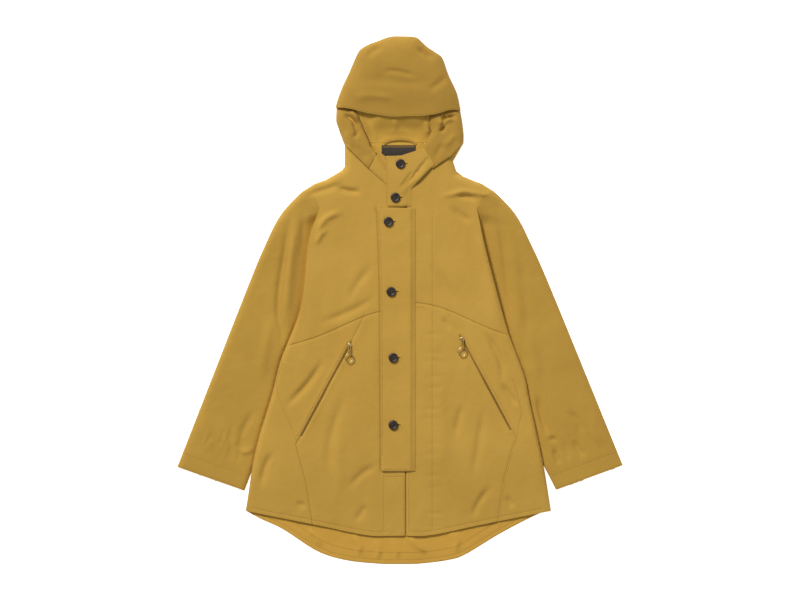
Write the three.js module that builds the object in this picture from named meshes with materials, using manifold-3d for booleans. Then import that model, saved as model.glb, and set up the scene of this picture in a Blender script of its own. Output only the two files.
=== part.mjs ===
// A hooded parka laid flat on its back, in millimetres. +X is the wearer's left, +Y runs from hem to hood
// and +Z is up, out of the chest. While it is built, Y = 0 is the back neck seam, so body sizes are negative.
// Every garment piece is a plain closed solid: thin plates for the layers, held apart by the room inside.
import * as THREE from 'three';
import { mergeVertices } from 'three/addons/utils/BufferGeometryUtils.js';
import Module from 'manifold-3d';

const wasm = await Module();
wasm.setup();

// Driving dimensions
const BACK_LENGTH = 891;      // back neck seam to the lowest point of the fishtail
const FRONT_LENGTH = 832;     // the same seam to the front hem at the centre
const HEM_HALF_WIDTH = 321;   // half of the body's width at the hem
const CHEST_HALF_WIDTH = 183; // half of the body's width under the arm
const NECK_HALF_WIDTH = 115;  // where the shoulder line meets the hood
const CLOTH = 2;              // a layer's thickness: shell, lining and the seam allowances between them
const GAP = 0.5;              // between pieces that touch
const BODY_LOFT = 14;         // room inside the body, between back and front
const SLEEVE_LOFT = 10.8;     // room inside a sleeve
const HOOD_LOFT = 38;         // room under the crown of the hood
const SLEEVE_LENGTH = 565;    // shoulder pivot to the middle of the cuff
const CUFF_WIDTH = 150;
const ARMHOLE_RADIUS = 36;
const SLEEVE_SWING = 35;      // degrees a sleeve swings out from the body
const HOOD_HEIGHT = 218;
const HOOD_HALF_WIDTH = 131;
const FLAP_WIDTH = 76;        // storm flap, free edge to seam
const FLAP_LENGTH = 554;
const LATCH_WIDTH = 56;       // throat latch
const LATCH_LENGTH = 100;
const BUTTON_DIAMETER = 20;
const BUTTON_THICKNESS = 3.2;
const BUTTON_CLEARANCE = 1.4; // round a button in the opening that stands for its buttonhole
const ZIP_LENGTH = 225;
const ZIP_TAPE_WIDTH = 26;
const ZIP_COIL_WIDTH = 5;
const ZIP_SLOT = 8;           // between the two panels that the zip joins
const RING_DIAMETER = 19;
const RING_WIRE = 2;
const POCKET_WIDTH = 120;
const POCKET_DEPTH = 235;

// Where the opening lies: its line is off the body's middle, and the wearer's right front lies lower
const OPENING_X = 15.75;
const RIGHT_FRONT_DROP = 13;

// Heights of the layers
const FRONT_Z = CLOTH + BODY_LOFT;
const SLEEVE_TOP_Z = CLOTH + SLEEVE_LOFT;
const OVER_Z = FRONT_Z + CLOTH + GAP;   // flaps that lie on the front
const CROWN_Z = CLOTH + HOOD_LOFT;

const FAR = 3000;
const SIDES = { right: -1, left: 1 };

const COLOURS = {
  shell: [0xbd9447, 0.85, 0],
  hood: [0xac863b, 0.85, 0],
  facing: [0xb08a41, 0.88, 0],
  pocketing: [0x9a7a3c, 0.9, 0],
  label: [0x3f372e, 0.8, 0],
  button: [0x2c2621, 0.45, 0],
  tape: [0x9c7832, 0.85, 0],
  metal: [0x8f8058, 0.35, 1],
};

const coat = new THREE.Group();

// --- geometry helpers -------------------------------------------------------------------------------

function solidOf(geometry) {
  const bare = new THREE.BufferGeometry();
  bare.setAttribute('position', geometry.getAttribute('position'));
  if (geometry.index) bare.setIndex(geometry.index);
  const merged = mergeVertices(bare, 1e-4);
  return new wasm.Manifold(new wasm.Mesh({
    numProp: 3,
    vertProperties: new Float32Array(merged.getAttribute('position').array),
    triVerts: new Uint32Array(merged.index.array),
  }));
}

function geometryOf(solid) {
  const mesh = solid.getMesh();
  const geometry = new THREE.BufferGeometry();
  geometry.setAttribute('position', new THREE.BufferAttribute(mesh.vertProperties, 3));
  geometry.setIndex(new THREE.BufferAttribute(mesh.triVerts, 1));
  return geometry;
}

// An upright prism over an outline of [x, y] points, from one height to another
function prism(points, low, high) {
  const shape = new THREE.Shape(points.map(([x, y]) => new THREE.Vector2(x, y)));
  const geometry = new THREE.ExtrudeGeometry(shape, { depth: high - low, bevelEnabled: false });
  geometry.translate(0, 0, low);
  return solidOf(geometry);
}

function disc(x, y, radius, low, high, segments = 40) {
  const geometry = new THREE.CylinderGeometry(radius, radius, high - low, segments);
  geometry.rotateX(Math.PI / 2);
  geometry.translate(x, y, (low + high) / 2);
  return solidOf(geometry);
}

function box(x0, x1, y0, y1, z0, z1) {
  return prism([[x0, y0], [x1, y0], [x1, y1], [x0, y1]], z0, z1);
}

// Points along a smooth curve through the given ones
function smooth(points, count) {
  const curve = new THREE.SplineCurve(points.map(([x, y]) => new THREE.Vector2(x, y)));
  return curve.getPoints(count).map((p) => [p.x, p.y]);
}

// The same line moved sideways: to the left of its direction where distance is positive
function beside(line, distance) {
  return line.map(([x, y], i) => {
    const [ax, ay] = line[Math.max(i - 1, 0)];
    const [bx, by] = line[Math.min(i + 1, line.length - 1)];
    const length = Math.hypot(bx - ax, by - ay);
    return [x - (by - ay) / length * distance, y + (bx - ax) / length * distance];
  });
}

// A wall or band that follows a line, between the line and its copy beside it
function band(line, width, low, high) {
  return prism([...line, ...beside(line, width).reverse()], low, high);
}

const mirror = (line, sign) => line.map(([x, y]) => [x * sign, y]);
const shift = (line, dx, dy) => line.map(([x, y]) => [x + dx, y + dy]);

function add(name, solid, colour) {
  const [color, roughness, metalness] = COLOURS[colour];
  const material = new THREE.MeshStandardMaterial({ color, roughness, metalness });
  const mesh = new THREE.Mesh(geometryOf(solid), material);
  mesh.name = name;
  coat.add(mesh);
}

// --- outlines, drawn for the wearer's left and mirrored ------------------------------------------------

const CHEST_Y = -226;
const HEM_CORNER_Y = 52 - FRONT_LENGTH;
const HEM_DEPTH = FRONT_LENGTH + CHEST_Y;
const flare = HEM_HALF_WIDTH - CHEST_HALF_WIDTH;
const sideEdge = smooth([
  [CHEST_HALF_WIDTH - 18, CHEST_Y + 82],
  [CHEST_HALF_WIDTH, CHEST_Y],
  [CHEST_HALF_WIDTH + flare * 0.32, CHEST_Y - HEM_DEPTH * 0.27],
  [CHEST_HALF_WIDTH + flare * 0.71, CHEST_Y - HEM_DEPTH * 0.58],
  [HEM_HALF_WIDTH, HEM_CORNER_Y],
], 16);
const frontHem = smooth([
  [HEM_HALF_WIDTH, HEM_CORNER_Y],
  [HEM_HALF_WIDTH * 0.56, HEM_CORNER_Y - 28],
  [HEM_HALF_WIDTH * 0.21, 1 - FRONT_LENGTH],
  [0, -FRONT_LENGTH],
], 12);
const tailHem = smooth([
  [HEM_HALF_WIDTH, HEM_CORNER_Y - 1],
  [HEM_HALF_WIDTH * 0.82, HEM_CORNER_Y - 28],
  [HEM_HALF_WIDTH * 0.6, 40 - BACK_LENGTH],
  [HEM_HALF_WIDTH * 0.39, 11 - BACK_LENGTH],
  [0, -BACK_LENGTH],
], 14);
const shoulder = [
  [NECK_HALF_WIDTH, -48],
  [NECK_HALF_WIDTH + 24, -71],
  [NECK_HALF_WIDTH + 61, -92],
  [NECK_HALF_WIDTH + 91, -113],
];

// The sleeve turns in the armhole about this point, and the armhole is an arc round it
const PIVOT = [CHEST_HALF_WIDTH + 23, CHEST_Y + 46];
const shoulderEnd = [PIVOT[0] + 19, PIVOT[1] + 49];
const neckline = [[0, -76], [40, -72], [75, -62], [NECK_HALF_WIDTH, -48]];

function bodyOutline(sign, hem) {
  const side = sideEdge.filter(([, y]) => y < PIVOT[1]);
  return mirror([...shoulder, shoulderEnd, PIVOT, ...side, ...hem.slice(1)], sign);
}

function armhole(sign, low, high) {
  return disc(sign * PIVOT[0], PIVOT[1], ARMHOLE_RADIUS + GAP, low, high);
}

// --- the back ---------------------------------------------------------------------------------------------

function backHalf(sign) {
  const outline = [...bodyOutline(sign, tailHem), [0, 0], [sign * 34, 0], [sign * NECK_HALF_WIDTH, -20]];
  return prism(outline, 0, CLOTH).subtract(armhole(sign, -1, CLOTH + 1));
}

const backBlank = backHalf(1).add(backHalf(-1));
const YOKE_BACK_Y = -190;
const aboveYokeSeam = box(-FAR, FAR, YOKE_BACK_Y + GAP / 2, FAR, -1, CLOTH + 1);
const belowYokeSeam = box(-FAR, FAR, -FAR, YOKE_BACK_Y - GAP / 2, -1, CLOTH + 1);
add('back_yoke', backBlank.intersect(aboveYokeSeam), 'shell');
add('back_panel', backBlank.intersect(belowYokeSeam), 'shell');

// The facing that finishes the tail inside the hem
const HEM_FACING_WIDTH = 26;
const tailLine = [...mirror(tailHem, -1), ...[...tailHem].reverse().slice(1)].slice(2, -2);
const facingBottom = CLOTH + GAP;
add('back_hem_facing', band(tailLine, HEM_FACING_WIDTH, facingBottom, facingBottom + 1), 'facing');

// --- the fronts -------------------------------------------------------------------------------------------

// Seams of one front, as distances from the opening line and heights from the neck seam
const ZIP_TOP = [118, -418];
const ZIP_START = -8; // where the zip begins, along its line from that corner
const ZIP_ANGLE = THREE.MathUtils.degToRad(61.8);
const zipWay = [Math.cos(ZIP_ANGLE), -Math.sin(ZIP_ANGLE)];
const alongZip = (distance) => [ZIP_TOP[0] + zipWay[0] * distance, ZIP_TOP[1] + zipWay[1] * distance];
const zipEnd = alongZip(ZIP_START + ZIP_LENGTH + 20);
const yokeSeam = [[-40, -338], [20, -340], [60, -350], [100, -364], [165, -398], [206, -414], [400, -520]];
const pocketSeam = [
  [86, -330], [93, -365], ZIP_TOP, zipEnd,
  [zipEnd[0] - 22, zipEnd[1] - 82], [zipEnd[0] - 34, zipEnd[1] - 160], [zipEnd[0] - 40, -FAR],
];

// A front's point in the coat's frame
function onFront(points, sign) {
  const drop = sign < 0 ? RIGHT_FRONT_DROP : 0;
  return shift(mirror(points, sign), OPENING_X, -drop);
}

function frontBlank(sign) {
  const cut = OPENING_X + sign * GAP / 2;
  const hemLine = frontHem.slice(1).filter(([x]) => x > 24);
  const rim = mirror([...shoulder, [246, -155], ...sideEdge, ...hemLine], sign);
  const plate = prism(
    [...rim, [cut, -FRONT_LENGTH], [cut, -76], ...mirror(neckline.slice(1, -1), sign)],
    FRONT_Z, FRONT_Z + CLOTH,
  );
  const side = mirror(sideEdge.filter(([, y]) => y < PIVOT[1]), sign);
  const sideWall = band(side, -sign * CLOTH, CLOTH + GAP, FRONT_Z + 1);
  const shoulderWall = band(mirror([...shoulder, shoulderEnd], sign), -sign * CLOTH, CLOTH + GAP, FRONT_Z + 1);
  return plate.add(sideWall.add(shoulderWall).subtract(armhole(sign, 0, FRONT_Z - GAP)));
}

function addFront(side, sign) {
  const blank = frontBlank(sign);
  const seam = onFront(yokeSeam, sign);
  const slit = onFront(pocketSeam, sign);
  const region = (line, corners, dx, dy) => prism(shift([...line, ...corners], dx, dy), -1, FAR);
  const above = region(seam, [[sign * FAR, FAR], [-sign * FAR, FAR]], 0, GAP / 2);
  const below = region(seam, [[sign * FAR, -FAR], [-sign * FAR, -FAR]], 0, -GAP / 2);
  const inner = region(slit, [[-sign * FAR, -FAR], [-sign * FAR, FAR]], -sign * GAP / 2, 0);
  const outer = region(slit, [[sign * FAR, -FAR], [sign * FAR, FAR]], sign * GAP / 2, 0);
  const slotLine = onFront([alongZip(ZIP_START), alongZip(ZIP_START + ZIP_LENGTH)], sign);
  const slot = band(beside(slotLine, ZIP_SLOT / 2), -ZIP_SLOT, -1, FAR);
  const lower = blank.intersect(below).subtract(slot);
  add(`front_yoke_${side}`, blank.intersect(above), 'shell');
  add(`front_centre_panel_${side}`, lower.intersect(inner), 'shell');
  add(`front_side_panel_${side}`, lower.intersect(outer), 'shell');
}

// --- pockets: a zip set in the slot, its slider, pull tab and ring, and the bag inside ------------------------

const TAPE_THICKNESS = 1;
const TAPE_Z = FRONT_Z - GAP - TAPE_THICKNESS;
const COIL_TOP_Z = FRONT_Z + CLOTH;
const SLIDER = [9, 10, 3]; // width, length, height
const SLIDER_START = 4;   // from the zip's top end, closed
const BAG_Z = CLOTH + 6;
const BAG_WALL = 1;
const TAB = [7, 16, 1.2];  // width, length, thickness

// A box in a zip's own frame: x across it, y from its top end towards the hem
function onZip(sign, x0, x1, y0, y1, z0, z1) {
  const corners = [[x0, y0], [x1, y0], [x1, y1], [x0, y1]].map(([x, y]) => {
    const [px, py] = alongZip(ZIP_START + y);
    return [px - zipWay[1] * x, py + zipWay[0] * x];
  });
  return prism(onFront(corners, sign), z0, z1);
}

function addPocket(side, sign) {
  const half = ZIP_COIL_WIDTH / 2;
  const tape = onZip(sign, -ZIP_TAPE_WIDTH / 2, ZIP_TAPE_WIDTH / 2, 1, ZIP_LENGTH - 1, TAPE_Z, TAPE_Z + TAPE_THICKNESS);
  const coil = onZip(sign, -half, half, 3, ZIP_LENGTH - 3, TAPE_Z + TAPE_THICKNESS - 0.1, COIL_TOP_Z);
  add(`pocket_zip_${side}`, tape.add(coil), 'tape');
  const sliderZ = COIL_TOP_Z + GAP;
  const [width, length, height] = SLIDER;
  const slider = onZip(sign, -width / 2, width / 2, SLIDER_START, SLIDER_START + length, sliderZ, sliderZ + height);
  add(`zip_slider_${side}`, slider, 'metal');

  // The tab is held at the middle of the slider's top, and hangs towards the hem with the ring at its end
  const [pullX, pullY] = onFront([alongZip(ZIP_START + SLIDER_START + length / 2)], sign)[0];
  const [tabWidth, tabLength, tabThickness] = TAB;
  const tabZ = sliderZ + height + GAP;
  const tabEnd = pullY - tabLength;
  add(`pull_tab_${side}`, box(pullX - tabWidth / 2, pullX + tabWidth / 2, tabEnd, pullY, tabZ,
    tabZ + tabThickness), 'tape');
  const ring = new THREE.TorusGeometry((RING_DIAMETER - RING_WIRE) / 2, RING_WIRE / 2, 8, 28);
  ring.translate(pullX, tabEnd - GAP - RING_DIAMETER / 2, tabZ + tabThickness / 2);
  add(`pull_ring_${side}`, solidOf(ring), 'metal');

  const bag = [[-POCKET_WIDTH + 20, -8], [-ZIP_TAPE_WIDTH / 2, -8], [ZIP_TAPE_WIDTH / 2 + 8, 6],
    [ZIP_TAPE_WIDTH / 2 + 8, POCKET_DEPTH - 40], [-POCKET_WIDTH + 60, POCKET_DEPTH - 10], [-POCKET_WIDTH, 150]];
  const outline = (inset) => bag.map(([x, y]) => {
    const [cx, cy] = [-POCKET_WIDTH / 2 + 10, POCKET_DEPTH / 2 - 10];
    return [x + Math.sign(cx - x) * inset, y + Math.sign(cy - y) * inset];
  });
  const inFront = (points) => onFront(points.map(([x, y]) => {
    const [px, py] = alongZip(ZIP_START + y);
    return [px - zipWay[1] * x, py + zipWay[0] * x];
  }), sign);
  const outside = prism(inFront(outline(0)), BAG_Z, TAPE_Z - GAP);
  const inside = prism(inFront(outline(BAG_WALL)), BAG_Z + BAG_WALL, FRONT_Z);
  add(`pocket_bag_${side}`, outside.subtract(inside), 'pocketing');
}

for (const [side, sign] of Object.entries(SIDES)) {
  addFront(side, sign);
  addPocket(side, sign);
}

// --- sleeves ----------------------------------------------------------------------------------------------

// The angle from straight down, and where the middle of the cuff lies, differ a little as the coat is laid
const SLEEVE_ANGLES = { right: 19.5, left: 20.3 };
const CUFF_BAND = 34;

function addSleeve(side, sign) {
  const angle = THREE.MathUtils.degToRad(SLEEVE_ANGLES[side]);
  const way = [Math.sin(angle), -Math.cos(angle)];
  const across = [Math.cos(angle), Math.sin(angle)];
  const at = (along, out) => [
    PIVOT[0] + way[0] * along + across[0] * out,
    PIVOT[1] + way[1] * along + across[1] * out,
  ];
  const half = CUFF_WIDTH / 2;
  const outer = smooth([[246, -155], [279, -218], at(SLEEVE_LENGTH * 0.3, 62), at(SLEEVE_LENGTH, half)], 8);
  const inner = beside(sideEdge, GAP + 0.4).filter(([, y]) => y < PIVOT[1] && y > at(SLEEVE_LENGTH, -half)[1] + 30);
  const cuffInner = at(SLEEVE_LENGTH, -half);
  const region = mirror([PIVOT, ...outer, cuffInner, ...[...inner].reverse()], sign);
  const shape = (low, high) => prism(region, low, high)
    .add(disc(sign * PIVOT[0], PIVOT[1], ARMHOLE_RADIUS, low, high));
  const cuffBox = (from, to) => prism(mirror([at(from, -400), at(from, 400), at(to, 400), at(to, -400)], sign), -1, FAR);
  const sleeve = cuffBox(-FAR, SLEEVE_LENGTH - CUFF_BAND - GAP / 2);
  const cuff = cuffBox(SLEEVE_LENGTH - CUFF_BAND + GAP / 2, FAR);

  const under = shape(0, CLOTH);
  const top = shape(SLEEVE_TOP_Z, SLEEVE_TOP_Z + CLOTH);
  const walls = band(mirror(outer, sign), sign * -CLOTH, CLOTH + GAP, SLEEVE_TOP_Z + 1)
    .add(band(mirror([...inner, cuffInner], sign), sign * CLOTH, CLOTH + GAP, SLEEVE_TOP_Z + 1));
  const upper = top.add(walls.subtract(disc(sign * PIVOT[0], PIVOT[1], ARMHOLE_RADIUS + 8, 0, SLEEVE_TOP_Z - GAP)));
  add(`sleeve_under_${side}`, under.intersect(sleeve), 'shell');
  add(`sleeve_upper_${side}`, upper.intersect(sleeve), 'shell');
  add(`cuff_under_${side}`, under.intersect(cuff), 'shell');
  add(`cuff_upper_${side}`, upper.intersect(cuff), 'shell');
}

for (const [side, sign] of Object.entries(SIDES)) addSleeve(side, sign);

// --- the hood: two sides, a centre panel over the crown, a brim and the cheeks that fold over ---------------

const CREST_HALF_WIDTH = 33;
const BRIM_DEPTH = 22;
const HOOD_FRONT_Y = 64;
const hoodScale = HOOD_HALF_WIDTH / 131;
const hoodEdge = smooth([
  [126 * hoodScale, 0], [131 * hoodScale, HOOD_HEIGHT * 0.18], [131 * hoodScale, HOOD_HEIGHT * 0.35],
  [117 * hoodScale, HOOD_HEIGHT * 0.55], [98 * hoodScale, HOOD_HEIGHT * 0.74],
  [74 * hoodScale, HOOD_HEIGHT * 0.89], [CREST_HALF_WIDTH + 4, HOOD_HEIGHT],
], 16);
const hoodOutline = [...hoodEdge, ...mirror(hoodEdge, -1).reverse()];
const brimEdge = smooth([
  [-HOOD_HALF_WIDTH + 1, HOOD_FRONT_Y + 3], [-HOOD_HALF_WIDTH * 0.55, HOOD_FRONT_Y - 9],
  [0, HOOD_FRONT_Y - 16], [HOOD_HALF_WIDTH * 0.55, HOOD_FRONT_Y - 9], [HOOD_HALF_WIDTH - 1, HOOD_FRONT_Y + 3],
], 14);
const brimSeam = beside(brimEdge, BRIM_DEPTH);

const hoodBack = prism(hoodOutline, 0, CLOTH).intersect(box(-FAR, FAR, GAP / 2, FAR, -1, CLOTH + 1));
const crownRegion = prism([...shift(brimSeam, 0, GAP), [FAR, FAR], [-FAR, FAR]], -1, FAR);
const crownTop = prism(hoodOutline, CROWN_Z, CROWN_Z + CLOTH).intersect(crownRegion);
const hoodInside = prism([...beside(hoodEdge, CLOTH), ...mirror(beside(hoodEdge, CLOTH), -1).reverse()], -1, FAR);
const rise = box(-FAR, FAR, HOOD_FRONT_Y + BRIM_DEPTH, FAR, CLOTH - 0.1, CROWN_Z + 0.1);
const hoodWall = prism(hoodOutline, CLOTH - 0.1, CROWN_Z + 0.1).subtract(hoodInside).intersect(rise);
const hoodShell = hoodBack.add(crownTop).add(hoodWall);
const crest = CREST_HALF_WIDTH + GAP / 2;
add('hood_centre_panel', hoodShell.intersect(box(-crest + GAP, crest - GAP, -FAR, FAR, -1, FAR)), 'hood');
add('hood_side_right', hoodShell.intersect(box(-FAR, -crest, -FAR, FAR, -1, FAR)), 'hood');
add('hood_side_left', hoodShell.intersect(box(crest, FAR, -FAR, FAR, -1, FAR)), 'hood');
add('hood_brim', prism([...brimEdge, ...[...brimSeam].reverse()], CROWN_Z, CROWN_Z + CLOTH), 'hood');

// A cheek lies over the face opening, and its lower corner is sewn to the collar as a wing
const cheek = [
  [131, HOOD_FRONT_Y], [77, HOOD_FRONT_Y - 6], [72, 26], [64, 0], [54, -20], [48, -28], [65, -57], [87, -40],
  [118, -12], [127, 2],
];

function addCheek(side, sign) {
  const blank = prism(mirror(cheek, sign), OVER_Z, OVER_Z + CLOTH);
  const outerEdge = mirror(hoodEdge.filter(([, y]) => y < HOOD_FRONT_Y + BRIM_DEPTH), sign);
  const wall = band(outerEdge, sign * CLOTH, CLOTH + GAP, OVER_Z + 1);
  const cheekAndWall = blank.add(wall);
  add(`hood_cheek_${side}`, cheekAndWall.intersect(box(-FAR, FAR, GAP, FAR, -1, FAR)), 'hood');
  add(`collar_wing_${side}`, blank.intersect(box(-FAR, FAR, -FAR, -GAP, -1, FAR)), 'shell');
}

for (const [side, sign] of Object.entries(SIDES)) addCheek(side, sign);

// --- collar, label and hanger loop -----------------------------------------------------------------------

function addCollar(side, sign) {
  const cut = OPENING_X + sign * GAP / 2;
  const outline = [[cut, -25], ...mirror([[44, -22], [80, -34], [112, -44], [74, -60.5], [39, -70.5]], sign), [cut, -74.5]];
  add(`collar_front_${side}`, prism(outline, FRONT_Z, FRONT_Z + CLOTH), 'shell');
}

for (const [side, sign] of Object.entries(SIDES)) addCollar(side, sign);

const neckBand = [[-96, -6], [-50, -2], [50, -2], [96, -6], [96, -40], [50, -46], [-50, -46], [-96, -40]];
const bandTop = CLOTH + GAP + 1.5;
add('inner_neck_band', prism(neckBand, CLOTH + GAP, bandTop), 'facing');
const LABEL = [64, 23];
const LABEL_Y = -34;
const labelX = [3.5 - LABEL[0] / 2, 3.5 + LABEL[0] / 2];
add('neck_label', box(...labelX, LABEL_Y, LABEL_Y + LABEL[1], bandTop + GAP, bandTop + GAP + 1), 'label');
const loop = smooth([[-30, -6], [-16, -3], [3.5, -1.5], [23, -3], [37, -6]], 10);
add('hanger_loop', band(loop, -4, bandTop + GAP, bandTop + GAP + 1), 'facing');

// --- storm flap, throat latch and the six buttons -----------------------------------------------------------

const FLAP_SEAM_X = 36.8;
const FLAP_TOP = -143.4;
const LATCH_SEAM_X = 27.3;
const LATCH_BOTTOM = -140.5;
const BUTTON_Z = OVER_Z + CLOTH + GAP;
const SHANK_DIAMETER = 6;
const FLAP_BUTTONS = [[-20.6, -172.4], [-14.9, -319.2], [-10.5, -457.8], [-10.5, -598.9]];
const LATCH_BUTTONS = [[4.6, -51], [-6, -121.6]];

function withButtonOpenings(flap, buttons) {
  return buttons.reduce((solid, [x, y]) => solid.subtract(
    disc(x, y, BUTTON_DIAMETER / 2 + BUTTON_CLEARANCE, OVER_Z - 1, OVER_Z + CLOTH + 1, 32),
  ), flap);
}

const flapEdge = FLAP_SEAM_X - FLAP_WIDTH;
const flapOutline = [
  [FLAP_SEAM_X, FLAP_TOP], [FLAP_SEAM_X, FLAP_TOP - FLAP_LENGTH + 4], [flapEdge + 5, FLAP_TOP - FLAP_LENGTH + 4],
  [flapEdge + 3, -300], [flapEdge - 4, -180], [flapEdge - 6, FLAP_TOP],
];
add('storm_flap', withButtonOpenings(prism(flapOutline, OVER_Z, OVER_Z + CLOTH), FLAP_BUTTONS), 'shell');
const latchEdge = LATCH_SEAM_X - LATCH_WIDTH;
const latchOutline = [
  [LATCH_SEAM_X, LATCH_BOTTOM + LATCH_LENGTH + 15], [latchEdge + 28, LATCH_BOTTOM + LATCH_LENGTH + 6],
  [latchEdge, LATCH_BOTTOM + LATCH_LENGTH + 7], [latchEdge + 2, LATCH_BOTTOM + 7],
  [latchEdge + 6, LATCH_BOTTOM + 2], [LATCH_SEAM_X, LATCH_BOTTOM],
];
add('throat_latch', withButtonOpenings(prism(latchOutline, OVER_Z, OVER_Z + CLOTH), LATCH_BUTTONS), 'shell');

[...LATCH_BUTTONS, ...FLAP_BUTTONS].forEach(([x, y], i) => {
  const head = disc(x, y, BUTTON_DIAMETER / 2, BUTTON_Z, BUTTON_Z + BUTTON_THICKNESS, 28);
  const shank = disc(x, y, SHANK_DIAMETER / 2, OVER_Z - GAP / 2, BUTTON_Z + 0.1, 12);
  add(`button_${i + 1}`, head.add(shank), 'button');
});

// The origin is below the middle of the whole coat, on the surface it lies on
const bounds = new THREE.Box3().setFromObject(coat);
const middle = bounds.getCenter(new THREE.Vector3());
coat.position.set(-middle.x, -middle.y, 0);

export default coat;
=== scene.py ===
# %% [markdown]
# # A hooded parka laid flat
# The coat lies on its back on a pale surface, as a shop lays it out. It is woven cotton cut into panels
# and sewn, so it is built here as a tailor cuts it: one mesh for each panel, all of them following one
# height of cloth. The frame gives every place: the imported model's nodes say where each panel, seam,
# button and zip is.

# %% Load the frame
import math

import bmesh
import bpy
import numpy as np
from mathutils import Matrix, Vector
from mathutils.geometry import delaunay_2d_cdt


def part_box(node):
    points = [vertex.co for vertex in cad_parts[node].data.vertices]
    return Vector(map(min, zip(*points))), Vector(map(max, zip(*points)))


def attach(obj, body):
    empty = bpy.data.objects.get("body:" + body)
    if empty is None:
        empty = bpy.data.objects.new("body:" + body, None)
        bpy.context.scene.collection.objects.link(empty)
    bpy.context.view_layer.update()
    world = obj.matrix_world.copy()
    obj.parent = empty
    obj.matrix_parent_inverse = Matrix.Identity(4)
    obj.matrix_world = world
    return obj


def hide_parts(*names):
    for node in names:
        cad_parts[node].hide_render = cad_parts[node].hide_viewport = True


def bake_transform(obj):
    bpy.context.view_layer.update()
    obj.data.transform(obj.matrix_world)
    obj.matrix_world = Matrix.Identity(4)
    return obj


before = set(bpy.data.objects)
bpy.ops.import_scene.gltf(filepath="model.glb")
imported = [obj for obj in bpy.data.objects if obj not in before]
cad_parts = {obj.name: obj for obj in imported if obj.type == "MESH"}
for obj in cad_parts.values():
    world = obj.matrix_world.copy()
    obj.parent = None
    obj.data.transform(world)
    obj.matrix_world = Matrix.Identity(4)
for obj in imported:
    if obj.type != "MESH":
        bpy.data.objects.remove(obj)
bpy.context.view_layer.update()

# %% [markdown]
# ## A tailor's ruler
# Pattern pieces are easiest to draw in millimetres from the back neck seam: x across the body, y up
# towards the hood, down to the hem as negative numbers. `place` turns such a point into the frame's
# metres.

# %% The pattern's own coordinates
MM = 0.001
back_low, back_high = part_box("back_panel")
neck_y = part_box("hood_centre_panel")[0].y / MM - 0.25
middle_x = (back_low.x + back_high.x) / 2 / MM
FRONT_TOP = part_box("front_yoke_left")[1].z / MM
OPENING_X = 15.75   # the fronts meet a little to the wearer's left, so the flap lies in the middle


def place(x, y, z):
    return ((x + middle_x) * MM, (y + neck_y) * MM, z * MM)


def centre_of(node):
    """The middle of a node's box, in the pattern's coordinates."""
    low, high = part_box(node)
    mid = (low + high) / 2
    return mid.x / MM - middle_x, mid.y / MM - neck_y, mid.z / MM


print(f"neck seam at y {neck_y:.1f} mm, body middle at x {middle_x:.1f} mm, front {FRONT_TOP:.0f} mm high")

# %% [markdown]
# ## Camera, floor and light
# A flat lay is looked at from straight above through a long lens, so that nothing leans. The light is a
# studio's: large and soft, with one broad lamp a little stronger and lower, so that folds and seams show.
# The surface is a sweep of white paper, lit until it has no shade of its own.

# %% Camera straight above
VIEW_WIDTH = 1.680   # metres across the picture at the coat
LENS = 120.0
SENSOR = 36.0
COAT_MIDDLE_Z = 0.015
camera_data = bpy.data.cameras.new("camera")
camera_data.lens = LENS
camera_data.sensor_width = SENSOR
camera_data.dof.use_dof = False
camera = bpy.data.objects.new("camera", camera_data)
bpy.context.scene.collection.objects.link(camera)
camera_data.clip_end = 50
camera.location = (0.0, 0.0, VIEW_WIDTH * LENS / SENSOR + COAT_MIDDLE_Z)
bpy.context.scene.camera = camera
print(f"camera {camera.location.z:.2f} m above the surface")


# %% Soft studio light
def area_light(name, location, target, size, power):
    data = bpy.data.lights.new(name, "AREA")
    data.shape = "SQUARE"
    data.size = size
    data.energy = power
    lamp = bpy.data.objects.new(name, data)
    lamp.location = location
    lamp.rotation_euler = (Vector(target) - Vector(location)).to_track_quat("-Z", "Y").to_euler()
    bpy.context.scene.collection.objects.link(lamp)


area_light("key_softbox", (-3.9, 6.6, 6.6), (0, 0, 0), size=2.25, power=940)
area_light("fill_softbox", (2.6, -3.0, 4.4), (0, -0.2, 0), size=3.0, power=50)
ROOM_LIGHT = 0.23
world = bpy.data.worlds.new("studio")
bpy.context.scene.world = world
world.use_nodes = True
room = world.node_tree.nodes["Background"]
room.inputs["Color"].default_value = (1, 1, 1, 1)
room.inputs["Strength"].default_value = ROOM_LIGHT
bpy.context.scene.view_settings.view_transform = "Standard"

# %% [markdown]
# ## Finishes
# The shell is cotton woven tightly enough to shed rain: matt, with a faint sheen from its fibre ends, no
# gloss, and a shade that wanders a little over the cloth because the dye takes unevenly. Its threads are
# about 0.4 mm apart. A weave so fine would vanish, so it is drawn three times coarser. Colours are
# written as sRGB hex, as a dyer would match them, and one function turns them to the linear values that a
# renderer adds up.


# %% Colours and nodes
def linear(hex_colour):
    channels = [int(hex_colour[i:i + 2], 16) / 255 for i in (1, 3, 5)]
    return tuple(c / 12.92 if c <= 0.04045 else ((c + 0.055) / 1.055) ** 2.4 for c in channels) + (1.0,)


def node(tree, kind, inputs=(), links=(), **settings):
    """Adds one shader node: settings, fixed inputs, and links as input name to (node, output name)."""
    made = tree.nodes.new(kind)
    for name, value in settings.items():
        setattr(made, name, value)
    for name, value in dict(inputs).items():
        made.inputs[name].default_value = value
    for name, (source, output) in dict(links).items():
        tree.links.new(source.outputs[output], made.inputs[name])
    return made


def new_material(name):
    material = bpy.data.materials.new(name)
    material.use_nodes = True
    material.node_tree.nodes.clear()
    return material, material.node_tree


def finish_material(tree, shader):
    node(tree, "ShaderNodeOutputMaterial", links={"Surface": (shader, "BSDF")})


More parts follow.
